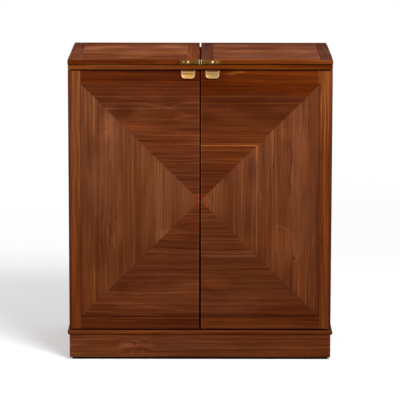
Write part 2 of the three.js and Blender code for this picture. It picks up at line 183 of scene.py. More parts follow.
class Finish:
    """A material under construction."""

    def __init__(self, name):
        self.material = bpy.data.materials.new(name)
        self.material.use_nodes = True
        self.tree = self.material.node_tree
        self.shader = self.tree.nodes["Principled BSDF"]

    def add(self, kind, settings=None, values=None, output=0):
        """Adds a node: its settings first, then the values or links of its sockets."""
        node = self.tree.nodes.new(kind)
        for key, setting in (settings or {}).items():
            if key == "stops":
                self.set_stops(node.color_ramp, setting)
            else:
                setattr(node, key, setting)
        for key, value in (values or {}).items():
            if isinstance(value, Signal):
                self.tree.links.new(value.socket, node.inputs[key])
            else:
                node.inputs[key].default_value = value
        return Signal(self, node.outputs[output])

    def set_stops(self, ramp, stops):
        for place, colour in stops[1:-1]:
            ramp.elements.new(place)
        for element, (place, colour) in zip(ramp.elements, stops):
            element.position = place
            element.color = (*colour, 1)

    def parts(self, output):
        """The x, y and z of one of the texture coordinates."""
        split = self.add("ShaderNodeSeparateXYZ", values={0: self.add("ShaderNodeTexCoord", output=output)})
        outputs = split.socket.node.outputs
        return [Signal(self, outputs[i]) for i in range(3)]

    def noise(self, x, y, z, detail=2.0, roughness=0.5):
        """Noise round 0, at a place that is already multiplied by the noise's frequencies."""
        place = self.add("ShaderNodeCombineXYZ", values={0: x, 1: y, 2: z})
        values = {"Vector": place, "Scale": 1.0, "Detail": detail, "Roughness": roughness}
        return self.add("ShaderNodeTexNoise", values=values) - 0.5

    def pick(self, mask, low, high):
        """The number low where the mask is 0 and high where it is 1."""
        return self.add("ShaderNodeMix", {"data_type": "FLOAT"}, {0: mask, 2: low, 3: high})

    def blend(self, mask, low, high):
        """The colour low where the mask is 0 and high where it is 1."""
        low = low if isinstance(low, Signal) else (*low, 1)
        high = high if isinstance(high, Signal) else (*high, 1)
        return self.add("ShaderNodeMix", {"data_type": "RGBA"}, {0: mask, 6: low, 7: high}, output=2)

    def tint(self, colour, shade, amount=1.0):
        """The colour multiplied by another one."""
        colour = colour if isinstance(colour, Signal) else (*colour, 1)
        shade = shade if isinstance(shade, Signal) else (*shade, 1)
        settings = {"data_type": "RGBA", "blend_type": "MULTIPLY", "clamp_result": False}
        return self.add("ShaderNodeMix", settings, {0: amount, 6: colour, 7: shade}, output=2)

    def distance(self, x, v, spot):
        """How far a point is from the middle of an upright ellipse given in mm, 1 on its edge."""
        middle_x, middle_v, half_width, half_height = spot
        across = (x - middle_x * MM) / (half_width * MM)
        up = (v - middle_v * MM) / (half_height * MM)
        return (across * across + up * up).math("SQRT")

    def spot(self, x, v, ellipse, core, edge=1.0):
        """A mask of an upright ellipse: 1 inside a share of it, the core, and 0 beyond its edge."""
        return 1 - self.distance(x, v, ellipse).within(core, edge)

    def bump(self, height, distance):
        return self.add("ShaderNodeBump", values={"Distance": distance, "Height": height})

    def shade(self, **sockets):
        """Sets sockets of the shader by name, with underscores for the spaces."""
        for key, value in sockets.items():
            socket = self.shader.inputs[key.replace("_", " ")]
            if isinstance(value, Signal):
                self.tree.links.new(value.socket, socket)
            else:
                socket.default_value = value
        return self.material


def near(distance, full, gone):
    """A mask that is 1 where the distance is under the first value and 0 where it is over the second."""
    return 1 - abs(distance).within(full, gone)


def thin_line(distance, width):
    """A mask of a line where the distance is near 0."""
    return near(distance, width * 0.35, width * 0.75)


def srgb(red, green, blue):
    """A colour given as 0 to 255 on screen, as the shader wants it."""
    def channel(value):
        value /= 255
        return value / 12.92 if value <= 0.04045 else ((value + 0.055) / 1.055) ** 2.4
    return channel(red), channel(green), channel(blue)


# Walnut runs from dark latewood to the pale side of the figure
WALNUT = (
    (0.0, srgb(66, 27, 11)),
    (0.3, srgb(96, 46, 22)),
    (0.5, srgb(113, 59, 32)),
    (0.7, srgb(128, 70, 41)),
    (1.0, srgb(152, 90, 56)),
)
INTERIOR = (
    (0.0, srgb(90, 50, 28)),
    (0.3, srgb(118, 70, 41)),
    (0.5, srgb(134, 83, 50)),
    (0.7, srgb(148, 94, 58)),
    (1.0, srgb(172, 114, 74)),
)
WARM = (1.08, 0.99, 0.82)
COOL = (0.98, 0.95, 1.06)
PALE_FIGURE = (1.5, 1.52, 1.6)
DARK_FIGURE = (0.66, 0.56, 0.5)
PORES = (0.62, 0.55, 0.5)
SATIN = {"Roughness": 0.46, "Specular_IOR_Level": 0.03}
DULL = {"Roughness": 0.5, "Specular_IOR_Level": 0.0}


class Grain:
    """Wood grain on two coordinates: along it and across it.

    Each noise has its own frequencies along and across, per metre. Boards with the same shared number have
    their growth rings at the same places. Wander says how far the grain strays, wild where it swirls,
    contrast how strong its lines are and mottle how cloudy it is.
    """

    def __init__(self, finish, along, across, seed, shared=0.0, wander=1.0, wild=None, contrast=1.0,
                 mottle=0.0):
        self.finish = finish
        noise = finish.noise
        sway = noise(along * 2.2, across * 5.0, seed)
        calm = noise(along * 1.2, across * 2.8, seed + 1.7).within(0.02, 0.16) * 0.6
        if wild:
            calm = calm | wild
        swirl = noise(along * 5.0, across * 8.0, seed + 5.1, detail=3.0) * calm
        bent = across + sway * (0.014 * wander) + swirl * (0.05 * wander)

        # Broad tone, growth rings, streaks and the finest fibres
        tone = noise(along * 1.8, bent * 11.0, seed + 3.1)
        rings = noise(along * 0.4, bent * 88.0, shared + 0.4, detail=2.5, roughness=0.6)
        streak = noise(along * 3.0, bent * 190.0, seed + 7.7, detail=3.0, roughness=0.6)
        fine = noise(along * 10.0, bent * 520.0, seed + 11.3)
        cloud = noise(along * 6.0, bent * 24.0, seed + 31.3, detail=3.0)
        self.figure = (tone * 0.8 + (rings * 0.75 + streak * 1.15 + fine * 0.5) * contrast
                       + cloud * mottle + 0.5)

        # Veins follow the contours of stretched noise, pale ones and dark ones, and come and go
        patch = noise(along * 3.5, across * 16.0, seed + 13.9)
        pale = noise(along * 1.5, bent * 52.0, seed + 19.3, detail=1.0)
        dark = noise(along * 1.3, bent * 44.0, seed + 27.1, detail=1.0)
        self.pale = near(pale, 0.004, 0.018) * patch.within(-0.06, 0.1)
        self.dark = near(dark, 0.004, 0.020) * patch.within(0.06, -0.1)
        self.pores = noise(along * 60.0, across * 1500.0, seed + 17.9, detail=1.0).within(0.1, 0.2)
        self.hue = noise(along * 2.2, across * 7.0, seed + 23.7)

    def colour(self, stops=WALNUT):
        finish = self.finish
        colour = finish.add("ShaderNodeValToRGB", {"stops": stops}, {0: self.figure})
        colour = finish.tint(colour, WARM, self.hue.within(0.0, 0.16))
        colour = finish.tint(colour, COOL, self.hue.within(0.0, -0.16))
        colour = finish.tint(colour, PALE_FIGURE, self.pale * 0.8)
        colour = finish.tint(colour, DARK_FIGURE, self.dark * 0.5)
        return finish.tint(colour, PORES, self.pores * 0.5)

    def relief(self):
        return self.finish.bump(self.figure * 0.4 - self.pores * 0.6, 0.1 * MM)


# Where the figure of the doors is wild, and where it turns from quartered to plain-sawn. A spot is an upright
# ellipse in mm: middle across, middle up, half width, half height
WILD_SPOTS = (
    (-140, 310, 130, 60), (-300, -95, 60, 130), (300, -120, 70, 160), (230, -30, 60, 90), (95, 425, 110, 20),
)
QUARTERED = 235 * MM
PLAIN_SAWN = 285 * MM
PLAIN_MARGIN = (6 * MM, 30 * MM)

# Pale lines that run round the field: distance from the middle in mm, strength on the left and on the right
BOX_LINES = (
    (23, 0.9, 0.9), (48, 1.3, 0.9), (104, 0.4, 0.2), (143, 0.3, 0.7), (193, 0.2, 1.6), (229, 0.4, 0.3),
    (249, 0.3, 0.5), (281, 0.4, 0.3), (322, 0.8, 0.2), (340, 0.3, 0.8), (363, 1.1, 0.9), (377, 0.5, 0.5),
    (391, 0.6, 0.4),
)
BOX_LINES_LYING = (1.6, 1.95, 2.0)
BOX_LINES_UPRIGHT = (1.7, 1.9, 1.5)
LINE_WIDTH = 3 * MM
LINE_SWAY = 4 * MM
OUTER_LINES = 300 * MM
NEAR_CORNER = (60 * MM, 200 * MM)

# The golden line of the upper right triangle, and the golden streak of the right band
GOLD_LINE = 193 * MM
GOLD_LINE_SHIFT = 2 * MM
GOLD_LINE_WIDTH = 11 * MM
GOLD_LINE_SHADE = (1.35, 1.4, 1.45)
GOLD_STREAK = 425 * MM
GOLD_STREAK_WIDTH = 4 * MM
GOLD_STREAK_SHADE = (1.7, 1.8, 1.5)

# Single veins in mm. The upright ones have a place across, a middle up and half a length, and the wavy lying
# ones a place up, a middle across and half a length
DARK_VEINS = ((309, 108, 112), (313, -275, 70), (-306, -120, 60), (417, -150, 90))
PALE_VEINS = ((264, -128, 52), (-345, -110, 115), (-291, -150, 50))
WAVY_VEINS = ((333, -120, 120), (287, -75, 100))
DARK_VEIN_SHADE = (0.6, 0.48, 0.44)
PALE_VEIN_SHADE = (1.4, 1.45, 1.4)
WAVY_VEIN_SHADE = (1.3, 1.45, 1.5)
VEIN_WIDTH = 4 * MM
VEIN_SWAY = 26 * MM
WAVY_WIDTH = 7 * MM
WAVY_SWAY = 60 * MM

# The pale turn of a swirl on the right door, a spot of which only the right and lower part shows
SWIRL = (264, -168, 54, 88)
SWIRL_START = 258 * MM
SWIRL_FADE = (-165 * MM, -100 * MM)
SWIRL_SHADE = (1.24, 1.28, 1.24)

# Pale figure near the head of the right door
FLAMES = ((130, 443.5, 36, 4.5), (104, 435.5, 27, 7.5))
FLAME_SHADE = (1.9, 2.9, 4.5)

# Shades of the leaves of veneer. The top and foot shades of the side bands and the side triangles blend from
# top to foot: a painted falloff of light down the doors
SIDE_BAND_TOP = ((1.22, 1.36, 1.24), (1.38, 1.48, 1.13))
SIDE_BAND_FOOT = ((0.79, 0.71, 0.47), (0.91, 0.83, 0.48))
CAP_BAND = ((0.59, 0.38, 0.14), (0.62, 0.39, 0.07))
FOOT_BAND = ((0.48, 0.35, 0.2), (0.7, 0.59, 0.32))
TOP_TRIANGLE = ((0.6, 0.52, 0.47), (0.5, 0.39, 0.24))
TOP_TRIANGLE_HEAD = ((0.9, 0.78, 0.6), PLAIN)
TOP_TRIANGLE_FOOT = ((1.28, 1.32, 1.36), (1.4, 1.46, 1.5))
FOOT_TRIANGLE = ((0.6, 0.52, 0.41), (0.61, 0.56, 0.45))
FOOT_TRIANGLE_CORNER = ((1.3, 1.3, 1.25), (0.84, 0.66, 0.45))
# Painted falloff of light on the side triangles: lighter towards the top, darker towards the foot
SIDE_TRIANGLE_TOP = ((1.0, 1.14, 1.2), (0.87, 0.93, 0.91))
SIDE_TRIANGLE_FOOT = ((0.59, 0.56, 0.39), (0.55, 0.49, 0.38))
SIDE_TRIANGLE_CORNER = ((1.32, 1.34, 1.6), (1.06, 1.06, 1.1))

# Where these shades begin and end, up and across from the middle of the doors
BAND_RISE = 400 * MM
SIDE_RISE = (-300 * MM, 150 * MM)
SIDE_CORNER_RISE = (-170 * MM, -290 * MM)
HEAD_FADE = 30 * MM
LOW_BAND = 372 * MM
LOW_BAND_FADE = 12 * MM
TOP_FOOT_END = (285 * MM, 245 * MM)
TOP_FOOT_START = (105 * MM, 150 * MM)
FOOT_CORNER_REACH = (290 * MM, 370 * MM)
FOOT_CORNER_SIDE = (90 * MM, 280 * MM)
SHARP_JOINT = 0.5 * MM
SOFT_JOINT = 14 * MM
SOFT_HEAD = 60 * MM

# Knots, and paler and darker places, each a spot with its shade. The first darker place is a painted shadow
# round the pulls, under the deck
KNOTS = ((-322, 251, 3.5, 4.5), (-288, -55, 3, 6), (321, -199, 7, 9), (251, 120, 3, 9), (414, -147, 3, 5))
KNOT_SHADE = (0.5, 0.36, 0.34)
CLOUDS_AND_PULL_SHADOW = (
    # A painted shadow round the pulls, under the deck
    ((0, 440, 150, 55), (0.62, 0.55, 0.5)),
    ((-338, 250, 55, 75), (1.36, 1.41, 1.56)),
    ((-262, 312, 64, 36), (0.68, 0.6, 0.52)),
    ((175, 318, 100, 26), (0.76, 0.68, 0.62)),
    ((-20, 352, 120, 20), (1.2, 1.25, 1.25)),
    ((296, 232, 34, 36), (1.25, 1.3, 1.3)),
    ((77, 8, 26, 105), (1.27, 1.38, 1.43)),
    ((180, 112, 26, 80), (0.76, 0.72, 0.7)),
    ((-298, -40, 25, 85), (0.78, 0.73, 0.7)),
    ((172, -148, 60, 50), (1.22, 1.28, 1.3)),
    ((275, -180, 65, 120), (1.24, 1.3, 1.35)),
    ((-95, -118, 75, 30), (1.28, 1.34, 1.36)),
    ((52, -290, 80, 26), (1.4, 1.45, 1.45)),
)

# The darker waist of the sides, and the reddish heart where the triangles meet
WAIST = 60 * MM
WAIST_HEIGHTS = (80 * MM, 210 * MM)
WAIST_SIDE = (350 * MM, 380 * MM)
WAIST_BAND_SHADE = (0.84, 0.82, 0.8)
WAIST_FIELD_SHADE = (0.77, 0.72, 0.7)
HEART = 24 * MM
HEART_UPRIGHT = (1.05, 0.8, 0.85)
HEART_LYING = (1.35, 1.1, 1.4)

# Glue lines, the strips along the bands at head and foot, and the edges of the doors. The pale line beside
# the seam, a painted highlight, and the painted shadow in the seam have their places from the middle, on the
# left and on the right
GLUE = (0.36, 0.24, 0.18)
CAP_LINE = 4.8 * MM
CAP_LINE_WIDTH = 3.6 * MM
CAP_LINE_SHADES = ((1.5, 1.8, 2.2), (0.74, 0.7, 0.68))
FOOT_STRIP = (12 * MM, 6 * MM)
FOOT_STRIP_END = 20 * MM
FOOT_STRIP_SHADE = (0.75, 0.72, 0.7)
OUTER_EDGE = (437 * MM, 445 * MM)
OUTER_EDGE_SHADE = (0.7, 0.56, 0.46)
# A pale line beside the seam on each door: a painted highlight of the arris
SEAM_HIGHLIGHT_PLACES = (6.2 * MM, 3.9 * MM)
SEAM_HIGHLIGHT_WIDTH = 3.0 * MM
SEAM_HIGHLIGHTS = ((1.4, 1.35, 1.3), (1.6, 1.6, 1.55))
# Painted shadow in the seam between the doors: its half width, how much wider it grows towards the foot,
# where that happens, and its shade
SEAM_SHADOW_WIDTH = (2.0 * MM, 2.7 * MM)
SEAM_SHADOW_WIDER_AT_FOOT = (2.0 * MM, 1.0 * MM)
SEAM_SHADOW_RISE = (200 * MM, -350 * MM)
SEAM_SHADOW = (0.12, 0.07, 0.05)
# Painted shadow on the top and bottom faces of the doors, in the gaps under the deck and over the ledge
GAP_SHADOW_DEPTHS = (1.92 * MM, 0.96 * MM)
GAP_SHADOW = (0.1, 0.06, 0.05)
SEAM_EDGE = 10 * MM
EDGE_SHADE = (0.72, 0.64, 0.56)
SIDE_EDGE_SHADE = (0.22, 0.16, 0.14)
SEAM_EDGE_SHADE = (0.42, 0.34, 0.3)


class DoorFront:
    """Where a point lies on the two doors, with masks of the parts of their veneer."""

    def __init__(self, finish):
        self.finish = finish
        self.x, _, self.z = finish.parts("Object")
        self.sideways, self.facing = finish.parts("Normal")[:2]
        self.v = self.z - door_middle
        self.from_side = abs(self.x)
        self.from_middle = abs(self.v) * (field_half_x / field_half_z)
        self.side_band = self.from_side > field_half_x
        self.cap_band = (abs(self.v) > field_half_z) * (1 - self.side_band)
        self.field = (1 - self.side_band) * (1 - self.cap_band)
        self.upright = (self.from_side > self.from_middle) | self.side_band
        self.lying = 1 - self.upright
        self.above = self.v > 0
        self.right = self.x > 0
        self.reach = self.from_side | self.from_middle

        # The triangles are cut from one flitch, so that its streaks run round as squares. The seed gives each
        # leaf a figure of its own along the grain
        self.along = finish.pick(self.upright, self.x, self.v)
        outside = finish.pick(self.side_band, abs(self.v), self.from_side)
        self.across = finish.pick(self.field, outside, self.reach)
        self.seed = (self.right * 5.3 + self.side_band * 11.0 + self.cap_band * 17.0 + self.lying * 23.0
                     + (1 - self.above) * self.lying * 31.0)

    def border(self):
        return self.side_band | self.cap_band

    def spot(self, ellipse, core, edge=1.0):
        return self.finish.spot(self.x, self.v, ellipse, core, edge)


def door_grain(door):
    """Quartered near the middle and plain-sawn, cloudier and with fainter lines, towards the border."""
    finish = door.finish
    wild = door.spot(WILD_SPOTS[0], 0.5)
    for place in WILD_SPOTS[1:]:
        wild = wild | door.spot(place, 0.5)
    margin_start, margin_end = [field_half_x - margin for margin in PLAIN_MARGIN]
    plain = door.reach.within(QUARTERED, PLAIN_SAWN)
    plain = plain * door.reach.within(margin_start, margin_end) * door.field
    contrast = finish.pick(door.upright * door.field, 1.0, 0.72) * finish.pick(plain, 1.0, 0.6)
    return Grain(finish, door.along, door.across, door.seed, shared=door.side_band * 3.0, wild=wild,
                 contrast=contrast, mottle=plain * 0.75)


def box_lines(door):
    """A mask of the pale lines that run round the field, and come and go."""
    finish = door.finish
    waver = door.reach + finish.noise(door.along * 7.0, door.across * 8.0, 3.3) * LINE_SWAY
    left_lines = right_lines = 0.0
    for distance, on_left, on_right in BOX_LINES:
        line = thin_line(waver - distance * MM, LINE_WIDTH)
        left_lines = line * on_left + left_lines
        right_lines = line * on_right + right_lines
    fade = finish.noise(door.along * 4.0, door.reach * 90.0, door.seed).within(-0.22, 0.02)
    fade = fade | abs(door.reach - GOLD_LINE).within(6 * MM, 3 * MM) * door.right * 0.6
    lines = finish.pick(door.right, left_lines, right_lines) * fade
    corner = near(door.from_side - door.from_middle, *NEAR_CORNER)
    lines = lines * finish.pick(door.upright * (door.reach > OUTER_LINES), 1.0, corner)
    return lines * finish.pick(door.lying * (1 - door.above), 1.0, 0.6)


def vein(crossing, along, place, width):
    """A mask of a single vein that fades from half of its length to its ends."""
    across, middle, half_length = place
    line = thin_line(crossing - across * MM, width)
    return line * abs(along - middle * MM).within(half_length * MM, half_length * 0.5 * MM)


def add_veins(door, front):
    """Single veins that the eye finds: dark and pale upright ones, and wavy lying ones."""
    finish = door.finish
    bent = door.x + finish.noise(door.v * 16, door.x * 15, 1.9, detail=3.0) * VEIN_SWAY
    for places, shade in ((DARK_VEINS, DARK_VEIN_SHADE), (PALE_VEINS, PALE_VEIN_SHADE)):
        for place in places:
            front = finish.tint(front, shade, vein(bent, door.v, place, VEIN_WIDTH))
    wavy = door.v + finish.noise(door.x * 9, door.v * 5, 8.7) * WAVY_SWAY
    for place in WAVY_VEINS:
        front = finish.tint(front, WAVY_VEIN_SHADE, vein(wavy, door.x, place, WAVY_WIDTH) * door.lying)
    return front


def add_swirl(door, front):
    """The pale line round the right and lower side of a swirl."""
    finish = door.finish
    turn = finish.distance(door.x, door.v, SWIRL)
    turn = turn + finish.noise(door.x * 30, door.v * 22, 4.4, detail=3.0) * 0.35
    turn = thin_line(turn - 0.97, 0.1) * (door.x > SWIRL_START) * door.v.within(*SWIRL_FADE)
    return finish.tint(front, SWIRL_SHADE, turn)


def veneer_leaves(door):
    """The leaves of veneer, each a mask with its shades for the left and the right door."""
    finish = door.finish
    v = door.v
    right = door.right
    field = door.field
    low_band = right * v.within(LOW_BAND - LOW_BAND_FADE, LOW_BAND)
    foot_corner = door.reach.within(*FOOT_CORNER_REACH) * door.from_side.within(*FOOT_CORNER_SIDE) * field
    at_head = right * v.within(field_half_z - SOFT_HEAD, field_half_z)
    softness = finish.pick(at_head, SHARP_JOINT, SOFT_JOINT)
    side = door.from_side.within(field_half_x - softness, field_half_x + softness) * door.border()
    low, high = SIDE_RISE
    return (
        # The side bands fade from their top shade to their foot shade: a painted falloff of light
        (side * v.within(-BAND_RISE, BAND_RISE), SIDE_BAND_TOP),
        (side * v.within(BAND_RISE, -BAND_RISE), SIDE_BAND_FOOT),
        (door.border() * (1 - side) * door.above | door.lying * low_band * field, CAP_BAND),
        (door.border() * (1 - side) * (1 - door.above), FOOT_BAND),
        (door.lying * field * door.above * (1 - low_band), TOP_TRIANGLE),
        (door.lying * field * (1 - right) * v.within(LOW_BAND - HEAD_FADE, LOW_BAND), TOP_TRIANGLE_HEAD),
        (door.lying * field * (1 - door.above), FOOT_TRIANGLE),
        # The side triangles fade from their top shade to their foot shade: a painted falloff of light
        (door.upright * field * v.within(low, high), SIDE_TRIANGLE_TOP),
        (door.upright * field * v.within(high, low), SIDE_TRIANGLE_FOOT),
        (door.upright * field * v.within(*SIDE_CORNER_RISE), SIDE_TRIANGLE_CORNER),
        (foot_corner * door.lying * (1 - door.above), FOOT_TRIANGLE_CORNER),
        (door.lying * field * v.within(*TOP_FOOT_END) * v.within(*TOP_FOOT_START), TOP_TRIANGLE_FOOT),
    )


def leaf_shades(door):
    """Lighter and darker leaves of veneer, with a painted falloff of light down the sides, and their knots,
    clouds with a painted shadow round the pulls, waist, golden line and heart.
    """
    finish = door.finish
    shade = PLAIN
    for mask, shades in veneer_leaves(door):
        shade = finish.tint(shade, finish.blend(door.right, *shades), mask)
    for knot in KNOTS:
        shade = finish.tint(shade, KNOT_SHADE, door.spot(knot, 0.2, 1.1))
    # Among the clouds is a painted shadow round the pulls
    for cloud, tone in CLOUDS_AND_PULL_SHADOW:
        shade = finish.tint(shade, tone, door.spot(cloud, 0.3))
    waist = near(door.v - WAIST, *WAIST_HEIGHTS)
    shade = finish.tint(shade, WAIST_BAND_SHADE, waist * door.side_band * door.right)
    shade = finish.tint(shade, WAIST_FIELD_SHADE, waist * door.field * door.from_side.within(*WAIST_SIDE))
    gold = thin_line(door.reach - GOLD_LINE - GOLD_LINE_SHIFT, GOLD_LINE_WIDTH) * door.lying * door.above
    shade = finish.tint(shade, GOLD_LINE_SHADE, gold * door.right)
    heart = (1 - door.reach.within(HEART * 0.93, HEART * 1.03)) * door.field
    return finish.tint(shade, finish.blend(door.lying, HEART_UPRIGHT, HEART_LYING), heart)


def add_joints(door, shade):
    """Dark glue lines between the leaves, and the strips along the bands at head and foot."""
    finish = door.finish
    side_joint = thin_line(door.from_side - field_half_x, JOINT)
    side_joint = side_joint * finish.pick(abs(door.v) > field_half_z, 1.0, 0.2)
    cap_joint = thin_line(abs(door.v) - field_half_z, JOINT * 1.5) * (1 - door.side_band)
    cap_joint = cap_joint * (1 - door.above * 0.7)
    mitre = thin_line((door.from_side - door.from_middle) * 0.7, JOINT) * door.field
    shade = finish.tint(shade, GLUE, side_joint | cap_joint * 0.9 | mitre * 0.25)
    cap_line = thin_line(abs(door.v) - field_half_z - CAP_LINE, CAP_LINE_WIDTH) * (1 - door.side_band)
    cap_shade = finish.blend(door.right, *CAP_LINE_SHADES)
    shade = finish.tint(shade, cap_shade, cap_line * finish.pick(door.right, 1.0, door.above))
    shade = finish.tint(shade, OUTER_EDGE_SHADE, door.from_side.within(*OUTER_EDGE))
    strip_start, strip_end = [-field_half_z - place for place in FOOT_STRIP]
    foot_strip = door.v.within(strip_start, strip_end)
    foot_strip = foot_strip * door.v.within(FOOT_STRIP_END - field_half_z, -field_half_z)
    return finish.tint(shade, FOOT_STRIP_SHADE, foot_strip * door.right * (1 - door.side_band))


def add_edges(door, shade):
    """A pale line beside the seam that paints a highlight, a painted shadow in the seam, and painted shadow
    on the top and bottom faces, in the gaps above and below the doors.
    """
    finish = door.finish
    # A pale line beside the seam: a painted highlight of the arris
    pale_line = thin_line(door.from_side - finish.pick(door.right, *SEAM_HIGHLIGHT_PLACES), SEAM_HIGHLIGHT_WIDTH)
    shade = finish.tint(shade, finish.blend(door.right, *SEAM_HIGHLIGHTS), pale_line)
    # Painted shadow in the seam between the doors, wider towards the foot
    shadow_size = finish.pick(door.right, *SEAM_SHADOW_WIDTH)
    shadow_size = shadow_size + finish.pick(door.right, *SEAM_SHADOW_WIDER_AT_FOOT) * door.v.within(*SEAM_SHADOW_RISE)
    shade = finish.tint(shade, SEAM_SHADOW, (door.from_side - shadow_size).within(0.5 * MM, -0.5 * MM))
    # Painted shadow on the top and bottom faces of the doors, in the gaps under the deck and over the ledge
    far, close_by = GAP_SHADOW_DEPTHS
    gap_shadow_mask = door.z.within(door_top - far, door_top - close_by)
    gap_shadow_mask = gap_shadow_mask | door.z.within(door_low.z + far, door_low.z + close_by)
    return finish.tint(shade, GAP_SHADOW, gap_shadow_mask)


def door_edge(door, walnut):
    """The edges of a door board, darkest on the outside and paler in the seam."""
    finish = door.finish
    shade = finish.blend(abs(door.sideways) > 0.9, SIDE_EDGE_SHADE, EDGE_SHADE)
    in_seam = (abs(door.sideways) > 0.9) * (door.from_side < SEAM_EDGE)
    shade = finish.blend(in_seam, shade, SEAM_EDGE_SHADE)
    return finish.tint(walnut, shade)


def door_veneer():
    """One square field of four mitred triangles across both doors, inside a border of straight bands.

    Shades that follow no noise are multiplied together before they meet the grain, because too long a shader
    comes out black.
    """
    finish = Finish("door_veneer")
    door = DoorFront(finish)
    grain = door_grain(door)
    walnut = grain.colour()
    lines = box_lines(door)
    line_shade = finish.blend(door.upright, BOX_LINES_LYING, BOX_LINES_UPRIGHT)
    front = finish.tint(walnut, line_shade, lines * door.field)
    streak = thin_line(door.x - GOLD_STREAK, GOLD_STREAK_WIDTH) * grain.hue.within(-0.2, 0.05)
    front = finish.tint(front, GOLD_STREAK_SHADE, streak * door.side_band)
    front = add_veins(door, front)
    front = add_swirl(door, front)
    shade = leaf_shades(door)
    shade = add_joints(door, shade)
    shade = add_edges(door, shade)
    for flame in FLAMES:
        glow = door.spot(flame, 0.3) * grain.figure.within(0.1, 0.5)
        front = finish.tint(front, FLAME_SHADE, glow)
    front = finish.tint(front, shade)
    inner = Grain(finish, door.z, door.x, 41.0).colour(INTERIOR)
    edge = door_edge(door, walnut)
    colour = finish.blend(door.facing > 0.9, edge, inner)
    colour = finish.blend(door.facing < -0.5, colour, front)
    return finish.shade(Base_Color=colour, Normal=grain.relief(), **SATIN)


# Shades of the leaves of the top: their fields, their bands and their edges. The streak is a spot, with its
# height above the floor
LEAF_FLAT = ((1.23, 1.42, 1.65), (1.04, 1.26, 1.67))
LEAF_BAND = (0.66, 0.58, 0.62)
LEAF_OUTER_BAND = (1.25, 1.5, 1.7)
LEAF_RIGHT_BANDS = (0.88, 0.99, 1.25)
LEAF_NEAR_BAND = (1.45, 1.4, 0.85)
LEAF_PALE_CLOUD = (1.22, 1.28, 1.3)
LEAF_DARK_CLOUD = (0.86, 0.8, 0.78)
LEAF_JOINT = (1.4, 1.35, 1.25)
LEAF_EDGE = ((0.59, 0.41, 0.22), (0.98, 0.85, 0.37))
LEAF_EDGE_FOOT = ((1.45, 1.45, 1.45), (0.78, 0.76, 0.74))
LEAF_EDGE_HEAD = ((0.84, 0.82, 0.8), (1.12, 1.12, 1.12))
LEAF_STREAK = (-115, 1032, 55, 9)
LEAF_STREAK_SHADE = (1.6, 1.7, 1.3)
# Painted shadow on the underside of the leaf edges, in the gap above the deck
LEAF_GAP_SHADOW = (0.08, 0.05, 0.05)

# Darker places on the leaves, each from one distance in from the front or the back edge to another
FRONT_FADE = (210 * MM, 90 * MM)
FRONT_SHADE = (0.74, 0.66, 0.58)
BACK_FADE = (130 * MM, 60 * MM)
BACK_SHADE = (0.85, 0.82, 0.8)
BACK_EDGE = (7 * MM, 3 * MM)
BACK_EDGE_SHADE = (0.45, 0.3, 0.25)


class LeafTop:
    """Where a point lies on the two leaves of the top, with masks of the parts of their veneer."""

    def __init__(self, finish):
        self.finish = finish
        self.x, self.y, self.z = finish.parts("Object")
        self.upward = finish.parts("Normal")[2]
        self.from_side = abs(abs(self.x) + leaf_centre.x)
        self.from_end = abs(self.y - leaf_centre.y)
        self.side_band = self.from_side > leaf_half_x
        self.end_band = (self.from_end > leaf_half_y) * (1 - self.side_band)
        self.along = finish.pick(self.side_band, self.x, self.y)
        self.across = finish.pick(self.side_band, self.y, self.x)
        self.seed = ((self.x > 0) * 5.3 + self.side_band * 13.0 + self.end_band * 27.0
                     + (self.upward < 0) * 3.0)
        self.field = (1 - self.side_band) * (1 - self.end_band)


def leaf_grain(leaf):
    finish = leaf.finish
    return Grain(finish, leaf.along, leaf.across, leaf.seed, wander=finish.pick(leaf.side_band, 1.6, 0.3),
                 wild=leaf.field * 0.5, contrast=finish.pick(leaf.field, 0.6, 0.7), mottle=0.6)


def leaf_flat(leaf, colour):
    """The upper and lower faces: bands, clouds, darker places at the front left and the back, and joints."""
    finish = leaf.finish
    x = leaf.x
    y = leaf.y
    flat = finish.tint(colour, finish.blend(x > 0, *LEAF_FLAT))
    flat = finish.tint(flat, LEAF_BAND, leaf.side_band | leaf.end_band)
    flat = finish.tint(flat, LEAF_OUTER_BAND, leaf.side_band * (x < leaf_centre.x))
    flat = finish.tint(flat, LEAF_RIGHT_BANDS, leaf.side_band * (x > 0))
    flat = finish.tint(flat, LEAF_NEAR_BAND, leaf.end_band * (x > 0) * (y < 0))
    cloud = finish.noise(x * 7, y * 9, 3.9, detail=3.0) * leaf.field
    flat = finish.tint(flat, LEAF_PALE_CLOUD, cloud.within(0.0, 0.12))
    flat = finish.tint(flat, LEAF_DARK_CLOUD, cloud.within(0.0, -0.12))
    front_left = y.within(*[leaf_low.y + inset for inset in FRONT_FADE]) * (1 - (x > 0))
    flat = finish.tint(flat, FRONT_SHADE, front_left * leaf.field)
    flat = finish.tint(flat, BACK_SHADE, y.within(*[leaf_high.y - inset for inset in BACK_FADE]))
    joints = thin_line(leaf.from_side - leaf_half_x, JOINT)
    joints = joints | thin_line(leaf.from_end - leaf_half_y, JOINT) * (1 - leaf.side_band)
    flat = finish.tint(flat, LEAF_JOINT, joints * 0.6)
    return finish.tint(flat, BACK_EDGE_SHADE, y.within(*[leaf_high.y - inset for inset in BACK_EDGE]))


